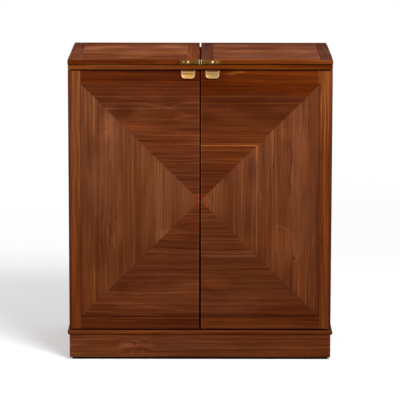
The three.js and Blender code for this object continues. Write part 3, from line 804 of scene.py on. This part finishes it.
def leaf_edge(leaf):
    """The edges, with a pale streak on the left leaf, and their underside painted dark as the shadow in the
    gap above the deck.
    """
    finish = leaf.finish
    x = leaf.x
    grain = Grain(finish, x + leaf.y, leaf.z * 1.4, 61.0 + (x > 0) * 2.0)
    edge = finish.tint(grain.colour(), finish.blend(x > 0, *LEAF_EDGE))
    rise = leaf.z.within(leaf_low.z, leaf_high.z)
    foot = finish.blend(x > 0, *LEAF_EDGE_FOOT)
    head = finish.blend(x > 0, *LEAF_EDGE_HEAD)
    edge = finish.tint(edge, finish.blend(rise, foot, head))
    edge = finish.tint(edge, LEAF_STREAK_SHADE, finish.spot(x, leaf.z, LEAF_STREAK, 0.4))
    # Painted shadow on the underside of the edge, in the gap above the deck
    return finish.tint(edge, LEAF_GAP_SHADOW, leaf.upward < -0.3)


def leaf_veneer():
    """A field with its grain from left to right, inside a border of bands on all four sides."""
    finish = Finish("leaf_veneer")
    leaf = LeafTop(finish)
    grain = leaf_grain(leaf)
    flat = leaf_flat(leaf, grain.colour())
    edge = leaf_edge(leaf)
    colour = finish.blend(abs(leaf.upward) > 0.9, edge, flat)
    return finish.shade(Base_Color=colour, Normal=grain.relief(), **DULL)


# Shades of the deck and the ledge, with the heights on the ledge of its foot, middle and head
DECK_EDGE = ((1.0, 1.0, 0.61), (0.84, 0.71, 0.22))
DECK_LIPPING = (1.3, 1.25, 1.2)
DECK_LIPPING_WIDTH = 3 * MM
# Painted shadow on the arrises of the deck, in the gaps under the leaves and over the doors
DECK_GAP_SHADOW = (0.1, 0.06, 0.06)
LEDGE = ((0.89, 0.89, 0.58), (0.67, 0.56, 0.19))
LEDGE_HEIGHTS = (4 * MM, 9 * MM, 13 * MM)
# Painted shade on the lower half of the rounded nose of the ledge
LEDGE_FOOT_SHADOW = (0.86, 0.66, 0.4)
LEDGE_HEAD = (1.0, 0.96, 0.92)
UNDER_DOORS = (4.5 * MM, 2 * MM)
UNDER_DOORS_SHADE = (0.08, 0.05, 0.04)

# Shades and features of the front of the plinth, with heights above the floor
PLINTH = ((0.8, 0.81, 0.8), (0.66, 0.6, 0.47))
PLINTH_WILD = (-218, 54, 90, 40)
PLINTH_CLOUD = (1.27, 1.27, 1.27)
PLINTH_KNOT = (-226, 56, 14, 9)
PLINTH_KNOT_SHADE = (0.6, 0.52, 0.5)
# Painted light at the head of the plinth, which thins the shadow under the ledge
PLINTH_HEAD = (74 * MM, 85 * MM)
PLINTH_HEAD_LIGHT = (1.45, 1.45, 1.45)
PLINTH_WAIST = 47 * MM
PLINTH_WAIST_HEIGHTS = (8 * MM, 22 * MM)
PLINTH_WAIST_SHADE = (0.86, 0.84, 0.88)
# Painted light at the upper left of the plinth, which thins the shadow under the ledge there
PLINTH_LEFT = (-150 * MM, -300 * MM)
PLINTH_LEFT_HEIGHTS = (30 * MM, 50 * MM)
PLINTH_LEFT_LIGHT = (1.3, 1.38, 1.4)
PLINTH_FOOT = (34 * MM, 16 * MM)
PLINTH_FOOT_SHADE = (1.1, 1.25, 1.35)
# Painted shadow line along the foot of the plinth
PLINTH_SHADOW_HEIGHTS = (10 * MM, 9 * MM)
PLINTH_SHADOW_LINE = (0.2, 0.14, 0.12)
PLINTH_LINE = 20 * MM
PLINTH_LINE_SWAY = 6 * MM
PLINTH_LINE_WIDTH = 4 * MM
PLINTH_LINE_SHADE = (1.35, 1.3, 1.2)


def rightward(x):
    """A mask that grows from 0 on the left of a long board to 1 on its right."""
    return x.within(-TURN_OF_TONE, TURN_OF_TONE)


def straight_walnut(name, axis, seed, shades=BOTH_PLAIN, stops=WALNUT, wander=1.0):
    """Walnut with its grain along one axis of the piece, and a shade for its left and its right."""
    finish = Finish(name)
    places = finish.parts("Object")
    first, second = [places[i] for i in range(3) if i != axis]
    grain = Grain(finish, places[axis], first + second * 1.3, seed, wander=wander)
    turn = rightward(places[0])
    colour = finish.tint(grain.colour(stops), finish.blend(turn, *shades))
    return finish.shade(Base_Color=colour, Normal=grain.relief(), **SATIN)


def deck_walnut():
    """The board under the leaves: lipped edges, and arrises painted dark as the shadow in the gaps beside
    them.
    """
    finish = Finish("walnut_deck")
    x, y, z = finish.parts("Object")
    upward = finish.parts("Normal")[2]
    grain = Grain(finish, x, y + z * 1.3, 83.0)
    turn = rightward(x)
    edge = finish.tint(grain.colour(), finish.blend(turn, *DECK_EDGE))
    pale_line = thin_line(z - (deck_low.z + deck_high.z) / 2, DECK_LIPPING_WIDTH)
    edge = finish.tint(edge, DECK_LIPPING, pale_line * 0.7)
    # Painted shadow on the arrises, in the gaps beside the deck
    edge = finish.tint(edge, DECK_GAP_SHADOW, abs(upward) > 0.3)
    colour = finish.blend(abs(upward) > 0.9, edge, grain.colour())
    return finish.shade(Base_Color=colour, Normal=grain.relief(), **DULL)


def plinth_walnut():
    """The front board of the plinth, with wild figure round a knot and a pale line near the foot. Painted
    light at its head and upper left thins the shadow under the ledge, and a painted shadow line runs along
    its foot.
    """
    finish = Finish("walnut_plinth")
    x, y, z = finish.parts("Object")
    patch = finish.spot(x, z, PLINTH_WILD, 0.4)
    grain = Grain(finish, x, z + y * 1.3, 91.0, wander=2.0, wild=patch)
    turn = rightward(x)
    colour = finish.tint(grain.colour(), finish.blend(turn, *PLINTH))
    cloud = finish.noise(x * 30, z * 60, 5.7, detail=2.0).within(-0.1, 0.15)
    colour = finish.tint(colour, PLINTH_CLOUD, patch * cloud)
    colour = finish.tint(colour, PLINTH_KNOT_SHADE, finish.spot(x, z, PLINTH_KNOT, 0.3))
    # Painted light that thins the shadow under the ledge
    colour = finish.tint(colour, PLINTH_HEAD_LIGHT, z.within(*PLINTH_HEAD))
    colour = finish.tint(colour, PLINTH_WAIST_SHADE, near(z - PLINTH_WAIST, *PLINTH_WAIST_HEIGHTS))
    # Painted light at the upper left, where the shadow under the ledge is thinner
    at_left = x.within(*PLINTH_LEFT) * z.within(*PLINTH_LEFT_HEIGHTS)
    colour = finish.tint(colour, PLINTH_LEFT_LIGHT, at_left)
    colour = finish.tint(colour, PLINTH_FOOT_SHADE, z.within(*PLINTH_FOOT))
    # Painted shadow line along the foot
    colour = finish.tint(colour, PLINTH_SHADOW_LINE, z.within(*PLINTH_SHADOW_HEIGHTS))
    waver = z - PLINTH_LINE + finish.noise(x * 6, 2.3, 0.7) * PLINTH_LINE_SWAY
    line = thin_line(waver, PLINTH_LINE_WIDTH)
    colour = finish.tint(colour, PLINTH_LINE_SHADE, line * (1 - turn))
    return finish.shade(Base_Color=colour, Normal=grain.relief(), **SATIN)


def ledge_walnut():
    """The rounded ledge, with painted shade on the lower half of its nose, and dark where it lies in the
    shadow under the doors.
    """
    finish = Finish("walnut_ledge")
    x, y, z = finish.parts("Object")
    grain = Grain(finish, x, y + z * 1.3, 87.0)
    turn = rightward(x)
    colour = finish.tint(grain.colour(), finish.blend(turn, *LEDGE))
    foot, middle, head = [ledge_low.z + height for height in LEDGE_HEIGHTS]
    # Painted shade on the lower half of the nose
    colour = finish.tint(colour, LEDGE_FOOT_SHADOW, z.within(middle, foot))
    colour = finish.tint(colour, LEDGE_HEAD, z.within(middle, head))
    under = y.within(*[door_front - depth for depth in UNDER_DOORS])
    under = under * (finish.parts("Normal")[2] > 0.5)
    colour = finish.tint(colour, UNDER_DOORS_SHADE, under)
    return finish.shade(Base_Color=colour, Normal=grain.relief(), **SATIN)


# The outer veneer of the sides and the back
SIDE_VENEER = (1.0, 0.95, 0.8)


def case_board(name, is_side, seed):
    """A board of the case: walnut on its outer face and edges, the paler veneer on its inner face."""
    finish = Finish(name)
    x, y, z = finish.parts("Object")
    facing = finish.parts("Normal")
    if is_side:
        inward = (x * facing[0]) < -0.1
        grain = Grain(finish, z, y, (x > 0) * 4.7 + seed)
    else:
        inward = facing[1] < -0.5
        grain = Grain(finish, z, x, seed)
    outer = finish.tint(grain.colour(), SIDE_VENEER)
    colour = finish.blend(inward, outer, grain.colour(INTERIOR))
    return finish.shade(Base_Color=colour, Normal=grain.relief(), **SATIN)


def metal(name, colour, roughness, wear):
    """Brushed metal with faint scratches and darker patches of patina."""
    finish = Finish(name)
    x, y, z = finish.parts("Object")
    brushed = finish.noise(x * 300, y * 2500, z * 2500)
    patina = finish.noise(x * 60, y * 60, z * 60, detail=4.0).within(-0.15, 0.2)
    shade = finish.blend(patina, colour, tuple(c * wear for c in colour))
    rough = brushed * 0.16 + patina * 0.08 + roughness
    return finish.shade(Base_Color=shade, Metallic=1.0, Roughness=rough,
                        Normal=finish.bump(brushed, 0.03 * MM))


# Colours of the pulls, with heights from the crease of the dished face and depths below the door top
PULL_GOLD = srgb(176, 138, 78)
PULL_TAN = srgb(176, 132, 88)
PULL_TURN = 2 * MM
PULL_FOOT = (3 * MM, 8 * MM)
PULL_FOOT_SHADE = (0.76, 0.74, 0.76)
PULL_PATINA = (0.72, 0.7, 0.62)
PULL_SHADES = ((1.21, 1.19, 1.14), (0.85, 0.87, 0.95))
PULL_RIGHT_HEAD = (1.09, 1.09, 1.03)
# Painted shade in the crease of the dished face
PULL_CREASE_WIDTH = 4.5 * MM
PULL_CREASE_SHADOW = (0.55, 0.52, 0.32)
# Painted shadow at the head of the pull, which lies under the deck
PULL_HEAD = (5.2 * MM, 2.2 * MM)
PULL_HEAD_SHADOW = (0.12, 0.07, 0.05)


def pull_brass():
    """The dished face of a pull: tan above its crease, dark in the crease with painted shade, golden below
    it, and dark at its head with a painted shadow under the deck.
    """
    finish = Finish("pull_brass")
    x, y, z = finish.parts("Object")
    crease = door_top - PULL_LIP
    brushed = finish.noise(x * 300, y * 900, z * 2500)
    cloud = finish.noise(x * 90, y * 60, z * 220, detail=3.0)
    shade = finish.blend(z.within(crease - PULL_TURN, crease + PULL_TURN), PULL_GOLD, PULL_TAN)
    shade = finish.tint(shade, PULL_FOOT_SHADE, z.within(*[crease - depth for depth in PULL_FOOT]))
    shade = finish.tint(shade, PULL_PATINA, cloud.within(-0.1, 0.2) * 0.6)
    shade = finish.tint(shade, finish.blend(x > 0, *PULL_SHADES))
    shade = finish.tint(shade, PULL_RIGHT_HEAD, (x > 0) * z.within(crease - PULL_TURN, crease + PULL_TURN))
    shadow_size = finish.pick(x > 0, 1.0, 0.3)
    # Painted shade in the crease, stronger on the left pull
    shade = finish.tint(shade, PULL_CREASE_SHADOW, thin_line(z - crease, PULL_CREASE_WIDTH) * shadow_size)
    # Painted shadow at the head of the pull, under the deck
    shade = finish.tint(shade, PULL_HEAD_SHADOW, z.within(*[door_top - depth for depth in PULL_HEAD]))
    return finish.shade(Base_Color=shade, Metallic=1.0, Roughness=brushed * 0.16 + 0.34,
                        Normal=finish.bump(brushed, 0.03 * MM))


def matt(name, colour, roughness, grain):
    """Paint, plastic or rubber with a fine uneven surface."""
    finish = Finish(name)
    x, y, z = finish.parts("Object")
    speckle = finish.noise(x * grain, y * grain, z * grain, detail=3.0)
    shade = finish.blend(speckle + 0.5, colour, tuple(c * 1.5 for c in colour))
    return finish.shade(Base_Color=shade, Roughness=speckle * 0.2 + roughness,
                        Specular_IOR_Level=0.12, Normal=finish.bump(speckle, 0.05 * MM))


def make_finishes():
    x, y, z = 0, 1, 2
    return {
        "door": door_veneer(),
        "leaf": leaf_veneer(),
        "side": case_board("side_veneer", True, 71.0),
        "back": case_board("back_veneer", False, 75.0),
        "deck": deck_walnut(),
        "ledge": ledge_walnut(),
        "plinth": plinth_walnut(),
        "plinth_side": straight_walnut("walnut_plinth_side", y, 97.0, PLINTH, wander=1.6),
        "plinth_back": straight_walnut("walnut_plinth_back", x, 93.0, PLINTH, wander=1.6),
        "inside_x": straight_walnut("inside_across", x, 101.0, stops=INTERIOR),
        "inside_y": straight_walnut("inside_deep", y, 103.0, stops=INTERIOR),
        "inside_z": straight_walnut("inside_upright", z, 107.0, stops=INTERIOR),
        "brass": metal("brass", srgb(190, 148, 94), 0.34, 0.85),
        "pull": pull_brass(),
        # Paler brass that paints the highlight on the rims of the pulls
        "rim_highlight": metal("rim_highlight_brass", srgb(182, 147, 114), 0.3, 0.9),
        # Paler brass that paints the highlight where the lift plates turn into the slot
        "bright": metal("bright_brass", srgb(236, 204, 152), 0.3, 0.95),
        "screw": metal("screw_brass", srgb(206, 170, 112), 0.3, 0.9),
        "aged": metal("aged_brass", srgb(102, 72, 32), 0.42, 0.7),
        "hinge": metal("hinge_brass", srgb(168, 128, 76), 0.38, 0.8),
        "steel": metal("steel", srgb(170, 170, 168), 0.35, 0.85),
        "black": matt("black_paint", srgb(2, 1, 0), 0.7, 400),
        "plastic": matt("brown_plastic", srgb(44, 32, 26), 0.55, 600),
        "rubber": matt("rubber", srgb(30, 30, 29), 0.8, 900),
    }


# The finish of each node, by the first words of its name, or for the bottle caddies by a word inside it
NODE_FINISHES = (
    ("foot_board", "black"), ("plinth_front", "plinth"), ("plinth_back", "plinth_back"),
    ("plinth_", "plinth_side"), ("base_ledge", "ledge"), ("top_deck", "deck"), ("side_panel", "side"),
    ("door_", "door"),
    ("leaf_bumper", "rubber"), ("leaf_", "leaf"), ("lift_plate", "aged"), ("pull_", "brass"),
    ("knife_", "hinge"), ("flap_", "hinge"), ("strike_", "steel"), ("magnet_", "plastic"),
    ("back_panel", "back"), ("floor_panel", "inside_x"), ("middle_shelf", "inside_x"),
    ("lower_divider", "inside_z"), ("upper_divider", "inside_z"), ("cross_", "inside_y"),
    ("lower_shelf", "inside_x"), ("upper_shelf", "inside_x"), ("stem_", "inside_y"),
)
CADDY_FINISHES = (("rail", "brass"), ("cheek", "inside_z"), ("shelf", "inside_x"))


def finish_of(name):
    if name.startswith("caddy_"):
        return next(kind for word, kind in CADDY_FINISHES if word in name)
    return next(kind for word, kind in NODE_FINISHES if name.startswith(word))


# Modelling by hand: a primitive at its place, then edit mode
def block_at(name, low, high):
    """A new block between two corners, left selected in edit mode."""
    bpy.ops.object.select_all(action="DESELECT")
    middle = [(a + b) / 2 for a, b in zip(low, high)]
    bpy.ops.mesh.primitive_cube_add(size=1, location=middle)
    piece = bpy.context.object
    piece.name = name
    piece.dimensions = [b - a for a, b in zip(low, high)]
    bpy.ops.object.transform_apply(location=True, rotation=True, scale=True)
    bpy.ops.object.mode_set(mode="EDIT")
    return piece


def select(piece, kind, wanted):
    """Selects the vertices, edges or faces that the test wants, and nothing else."""
    bpy.ops.mesh.select_all(action="DESELECT")
    bpy.ops.mesh.select_mode(type={"verts": "VERT", "edges": "EDGE", "faces": "FACE"}[kind])
    shape = bmesh.from_edit_mesh(piece.data)
    shape.normal_update()
    for element in getattr(shape, kind):
        element.select_set(bool(wanted(element)))
    shape.select_flush_mode()
    bmesh.update_edit_mesh(piece.data)


def centre_of(edge):
    return (edge.verts[0].co + edge.verts[1].co) / 2


def depth_of(edge):
    return abs(edge.verts[0].co.y - edge.verts[1].co.y)


def across_of(face):
    return face.calc_center_median().x


def cut_plane(place, normal):
    bpy.ops.mesh.select_all(action="SELECT")
    bpy.ops.mesh.bisect(plane_co=place, plane_no=normal)


def close(a, b):
    """Whether two places are the same, apart from rounding."""
    return abs(a - b) < 0.05 * MM


def paint_highlight(piece, finish, wanted):
    """Gives a second finish, a paler metal that paints a highlight, to some of the faces of a piece in edit
    mode, and leaves the first slot open.
    """
    piece.data.materials.append(finish)
    piece.data.materials.append(finish)
    shape = bmesh.from_edit_mesh(piece.data)
    shape.normal_update()
    for face in shape.faces:
        if wanted(face):
            face.material_index = 1
    bmesh.update_edit_mesh(piece.data)


def finished(piece, finish, bevel=0.0, segments=2, angle=40):
    """Leaves edit mode, eases the sharp edges and gives the piece its finish."""
    bpy.ops.mesh.select_all(action="SELECT")
    bpy.ops.mesh.normals_make_consistent(inside=False)
    bpy.ops.object.mode_set(mode="OBJECT")
    if bevel:
        ease = piece.modifiers.new("ease", "BEVEL")
        ease.width = bevel
        ease.segments = segments
        ease.limit_method = "ANGLE"
        ease.angle_limit = math.radians(angle)
        bpy.ops.object.modifier_apply(modifier=ease.name)
    bpy.ops.object.shade_smooth_by_angle(angle=math.radians(35))
    if piece.data.materials:
        piece.data.materials[0] = finish
    else:
        piece.data.materials.append(finish)
    return piece


def pull(hand, finishes):
    """A cast pull: a cap over the door, a dished face and a lip that flares forward, all with a soft rim."""
    low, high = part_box(f"pull_{hand}")
    front = door_front - PULL_FACE
    piece = block_at(f"{hand}_pull_casting", (low.x, front, low.z), (high.x, door_front, high.z))
    cut_plane((0, 0, door_top - PULL_LIP), (0, 0, 1))
    cut_plane((0, 0, door_top), (0, 0, 1))

    # The lip flares forward and has round corners
    select(piece, "verts", lambda vert: close(vert.co.z, low.z))
    bpy.ops.transform.translate(value=(0, -PULL_FLARE, 0))
    select(piece, "edges", lambda edge: close(centre_of(edge).z, low.z) and depth_of(edge) > MM)
    bpy.ops.mesh.bevel(offset=PULL_ROUND, segments=8, affect="EDGES")

    # The face is dished inside its rim, which is paler at both sides: a painted highlight on the rim
    select(piece, "faces", lambda face: face.normal.y < -0.5)
    bpy.ops.mesh.inset(thickness=PULL_RIM, depth=0)
    bpy.ops.transform.translate(value=(0, PULL_DISH, 0))
    middle = (low.x + high.x) / 2
    cheek = (high.x - low.x) / 2 - PULL_RIM * 1.4
    paint_highlight(piece, finishes["rim_highlight"], lambda face: face.normal.y < -0.2 and not face.select
           and abs(across_of(face) - middle) > cheek)

    # The cap reaches back over the door, with a round bend above the face
    select(piece, "faces", lambda face: face.normal.y > 0.9 and face.calc_center_median().z > door_top)
    bpy.ops.mesh.extrude_region_move(TRANSFORM_OT_translate={"value": (0, high.y - door_front, 0)})
    select(piece, "edges", lambda edge: close(centre_of(edge).z, high.z) and close(centre_of(edge).y, front))
    bpy.ops.mesh.bevel(offset=PULL_BEND, segments=5, affect="EDGES")
    piece = finished(piece, finishes["pull"], bevel=PULL_EASE, segments=3, angle=30)
    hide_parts(f"pull_{hand}")
    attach(piece, f"{hand}_door")


def lift_plate(hand, side, finishes):
    """A corner plate that wraps from the front of a leaf into the slot, paler where it turns: a painted
    highlight of the bend.
    """
    low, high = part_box(f"lift_plate_{hand}")
    inner = high.x if side < 0 else low.x
    piece = block_at(f"{hand}_leaf_plate", low, (high.x, low.y + PLATE, high.z))
    cut_plane((inner + side * PLATE, 0, 0), (1, 0, 0))
    select(piece, "faces", lambda face: face.normal.y > 0.9 and abs(across_of(face) - inner) < PLATE)
    bpy.ops.mesh.extrude_region_move(TRANSFORM_OT_translate={"value": (0, high.y - low.y - PLATE, 0)})
    # Paler brass where the plate turns into the slot: a painted highlight of the bend
    paint_highlight(piece, finishes["bright"], lambda face: abs(across_of(face) - inner) < PLATE)
    piece = finished(piece, finishes["aged"], bevel=PLATE_EASE)
    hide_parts(f"lift_plate_{hand}")
    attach(piece, f"{hand}_leaf")


def turned(name, rings, sides=24):
    """A turned piece on the +Z axis: rings of (radius, height) from the bottom face to the top one."""
    bpy.ops.object.select_all(action="DESELECT")
    (foot_radius, foot), (radius, top) = rings[:2]
    bpy.ops.mesh.primitive_cylinder_add(vertices=sides, radius=foot_radius, depth=top - foot,
                                        location=(0, 0, (foot + top) / 2))
    piece = bpy.context.object
    piece.name = name
    bpy.ops.object.transform_apply(location=True)
    bpy.ops.object.mode_set(mode="EDIT")
    select(piece, "faces", lambda face: face.normal.z > 0.9)
    scale = radius / foot_radius
    bpy.ops.transform.resize(value=(scale, scale, 1), center_override=(0, 0, top))
    for next_radius, height in rings[2:]:
        scale = next_radius / radius
        bpy.ops.mesh.extrude_region_move(TRANSFORM_OT_translate={"value": (0, 0, height - top)})
        bpy.ops.transform.resize(value=(scale, scale, 1), center_override=(0, 0, height))
        radius = next_radius
        top = height
    return piece


def screw_master(name, finish):
    """A slotted screw head of radius 1 mm on the +Z axis."""
    rings = ((1.0, 0.0), (1.0, 0.18), (0.9, 0.38), (0.66, 0.54), (0.36, 0.62))
    piece = turned(name, [(radius * MM, height * MM) for radius, height in rings])
    slot_half = 0.13 * MM
    slot_depth = 0.2 * MM
    for offset in (-slot_half, slot_half):
        cut_plane((offset, 0, 0), (1, 0, 0))
    select(piece, "faces", lambda face: face.normal.z > 0.2 and abs(across_of(face)) < slot_half * 0.9)
    bpy.ops.mesh.extrude_region_move(TRANSFORM_OT_translate={"value": (0, 0, -slot_depth)})
    return finished(piece, finish)


def copy_at(master, name, place, towards, size, body, turn=0.0):
    """A copy of a master piece with its own mesh, scaled, and turned so that its +Z looks one way."""
    mesh = master.data.copy()
    aim = Vector(towards).to_track_quat("Z", "Y").to_matrix().to_4x4()
    mesh.transform(Matrix.Translation(place) @ aim @ Matrix.Rotation(turn, 4, "Z") @ Matrix.Scale(size, 4))
    piece = bpy.data.objects.new(name, mesh)
    bpy.context.scene.collection.objects.link(piece)
    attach(piece, body)
    return piece


def plate_screws(hand, side, masters):
    """The two screws of a lift plate."""
    low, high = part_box(f"lift_plate_{hand}")
    for i, (master, (reach, radius)) in enumerate(zip(masters, PLATE_SCREWS)):
        place = (side * reach, low.y, (low.z + high.z) / 2)
        copy_at(master, f"{hand}_leaf_plate_screw_{i}", place, (0, -1, 0), radius, f"{hand}_leaf",
                turn=0.6 + i)


def pull_screws(hand, master):
    """Two screws in the cap of a pull, which go down into the edge of the door."""
    low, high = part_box(f"pull_{hand}")
    for i, share in enumerate(PULL_SCREW_SHARES):
        place = (low.x + (high.x - low.x) * share, door_front + PULL_SCREW_DEPTH, high.z - SEAT)
        copy_at(master, f"{hand}_pull_screw_{i}", place, (0, 0, 1), PULL_SCREW, f"{hand}_door",
                turn=1.1 + i)


def hinge_screws(hand, side, master):
    """A row of screws in each of the two plates of a leaf hinge."""
    for half, body, board_half in (("deck", "case", case_half),
                                   ("leaf", f"{hand}_leaf", case_half + LEAF_PLATE_PROUD)):
        low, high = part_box(f"flap_hinge_{hand}_{half}")
        face = side * (board_half + HINGE_PLATE)
        z = low.z + HINGE_SCREW_INSET if half == "deck" else high.z - HINGE_SCREW_INSET
        for i in range(HINGE_SCREW_COUNT):
            y = low.y + (high.y - low.y) * (HINGE_SCREW_START + HINGE_SCREW_STEP * i)
            copy_at(master, f"{hand}_flap_{half}_screw_{i}", (face, y, z), (side, 0, 0), HINGE_SCREW, body,
                    turn=0.5 * i)


def screws(finishes):
    """The screws of the lift plates, the pulls and the hinges of the leaves."""
    brass = screw_master("screw", finishes["screw"])
    dull = screw_master("plate_screw", finishes["brass"])
    dark = screw_master("hinge_screw", finishes["hinge"])
    beside_slot = {"left": dull, "right": brass}
    for hand, side in HANDS:
        plate_screws(hand, side, (beside_slot[hand], dark))
        pull_screws(hand, brass)
        hinge_screws(hand, side, dark)
    for master in (brass, dull, dark):
        bpy.data.objects.remove(master)


def rails(finishes):
    """Bottle rails of the caddies, each with a flange at either end."""
    for hand, _ in HANDS:
        for tier in ("lower", "upper"):
            low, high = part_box(f"caddy_{hand}_rail_{tier}")
            length = high.x - low.x
            radius = (high.z - low.z) / 2
            rings = ((FLANGE_RADIUS, 0), (FLANGE_RADIUS, FLANGE), (radius, FLANGE), (radius, length - FLANGE),
                     (FLANGE_RADIUS, length - FLANGE), (FLANGE_RADIUS, length))
            piece = turned(f"{hand}_bottle_rail_{tier}", rings, sides=32)
            finished(piece, finishes["brass"], bevel=RAIL_EASE)
            middle = (low + high) / 2
            aim = Matrix.Rotation(math.pi / 2, 4, "Y")
            piece.data.transform(Matrix.Translation((low.x, middle.y, middle.z)) @ aim)
            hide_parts(f"caddy_{hand}_rail_{tier}")
            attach(piece, f"{hand}_door")


def shelf_pins(finishes):
    """Brass pins under the two shelves of the right bays."""
    rings = ((5.0, 0.0), (5.0, 1.0), (2.5, 1.0), (2.5, 10.0), (1.7, 10.8))
    master = turned("shelf_pin", [(radius * MM, height * MM) for radius, height in rings])
    finished(master, finishes["brass"])
    for shelf in ("lower_shelf", "upper_shelf"):
        low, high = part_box(shelf)
        for wall, x, way in (("divider", low.x - SEAT, 1), ("side", high.x + SEAT, -1)):
            for end, y in (("front", low.y + PIN_FROM_END), ("back", high.y - PIN_FROM_END)):
                copy_at(master, f"{shelf}_pin_{wall}_{end}", (x, y, low.z - PIN_RADIUS), (way, 0, 0), 1.0,
                        "case")
    bpy.data.objects.remove(master)


def soft_lamp(name, place, aim, size, power):
    lamp = bpy.data.lights.new(name, "AREA")
    lamp.shape = "DISK"
    lamp.size = size
    lamp.energy = power
    holder = bpy.data.objects.new(name, lamp)
    holder.location = place
    holder.rotation_euler = (Vector(aim) - Vector(place)).to_track_quat("-Z", "Y").to_euler()
    bpy.context.scene.collection.objects.link(holder)


def set_camera():
    camera = bpy.data.objects.new("camera", bpy.data.cameras.new("camera"))
    camera.data.lens = CAMERA_LENS
    camera.data.sensor_width = SENSOR
    camera.data.clip_end = CAMERA_SIGHT
    camera.location = CAMERA_PLACE
    camera.rotation_euler = (math.pi / 2 - CAMERA_PITCH, CAMERA_ROLL, CAMERA_YAW)
    bpy.context.scene.collection.objects.link(camera)
    bpy.context.scene.camera = camera


def set_world():
    """White to the camera and in reflections, a plain level of light to everything else."""
    world = bpy.data.worlds.new("studio")
    bpy.context.scene.world = world
    world.use_nodes = True
    tree = world.node_tree
    rays = tree.nodes.new("ShaderNodeLightPath")
    seen = rays.outputs["Is Camera Ray"]
    for other in ("Is Glossy Ray", "Is Transmission Ray"):
        either = tree.nodes.new("ShaderNodeMath")
        either.operation = "MAXIMUM"
        tree.links.new(seen, either.inputs[0])
        tree.links.new(rays.outputs[other], either.inputs[1])
        seen = either.outputs[0]
    strength = tree.nodes.new("ShaderNodeMapRange")
    strength.inputs["To Min"].default_value = WORLD_LEVEL
    strength.inputs["To Max"].default_value = 1.0
    tree.links.new(seen, strength.inputs["Value"])
    tree.links.new(strength.outputs[0], tree.nodes["Background"].inputs["Strength"])
    tree.nodes["Background"].inputs["Color"].default_value = (1, 1, 1, 1)


def set_floor():
    """A white floor that keeps the shadow near the piece and fades to plain white far from it."""
    bpy.ops.object.select_all(action="DESELECT")
    bpy.ops.mesh.primitive_plane_add(size=FLOOR_SIZE, location=(0, 0, 0))
    floor = bpy.context.object
    floor.name = "floor"
    finish = Finish("floor_white")
    x, y = finish.parts("Object")[:2]
    seen = finish.add("ShaderNodeLightPath", output="Is Camera Ray")
    mirrored = finish.add("ShaderNodeLightPath", output="Is Glossy Ray")
    shown = seen | mirrored
    far = ((x * x + y * y).math("SQRT")).within(*FLOOR_FADE)
    glow = finish.pick(far, FLOOR_LIFT, 1.0) * shown
    albedo = finish.pick(shown, *FLOOR_WHITES) * (1 - far * shown)
    grey = finish.add("ShaderNodeCombineColor", values={0: albedo, 1: albedo, 2: albedo})
    light = finish.add("ShaderNodeCombineColor", values={0: glow, 1: glow, 2: glow})
    finish.shade(Base_Color=grey, Roughness=1.0, Specular_IOR_Level=0.0, Emission_Color=light,
                 Emission_Strength=1.0)
    floor.data.materials.append(finish.material)


set_camera()
set_world()
set_floor()
for lamp in LAMPS:
    soft_lamp(*lamp)

finishes = make_finishes()
for name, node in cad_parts.items():
    node.data.materials.clear()
    node.data.materials.append(finishes[finish_of(name)])
for hand, side in HANDS:
    pull(hand, finishes)
    lift_plate(hand, side, finishes)
screws(finishes)
rails(finishes)
shelf_pins(finishes)

bpy.context.scene.view_settings.view_transform = "Standard"
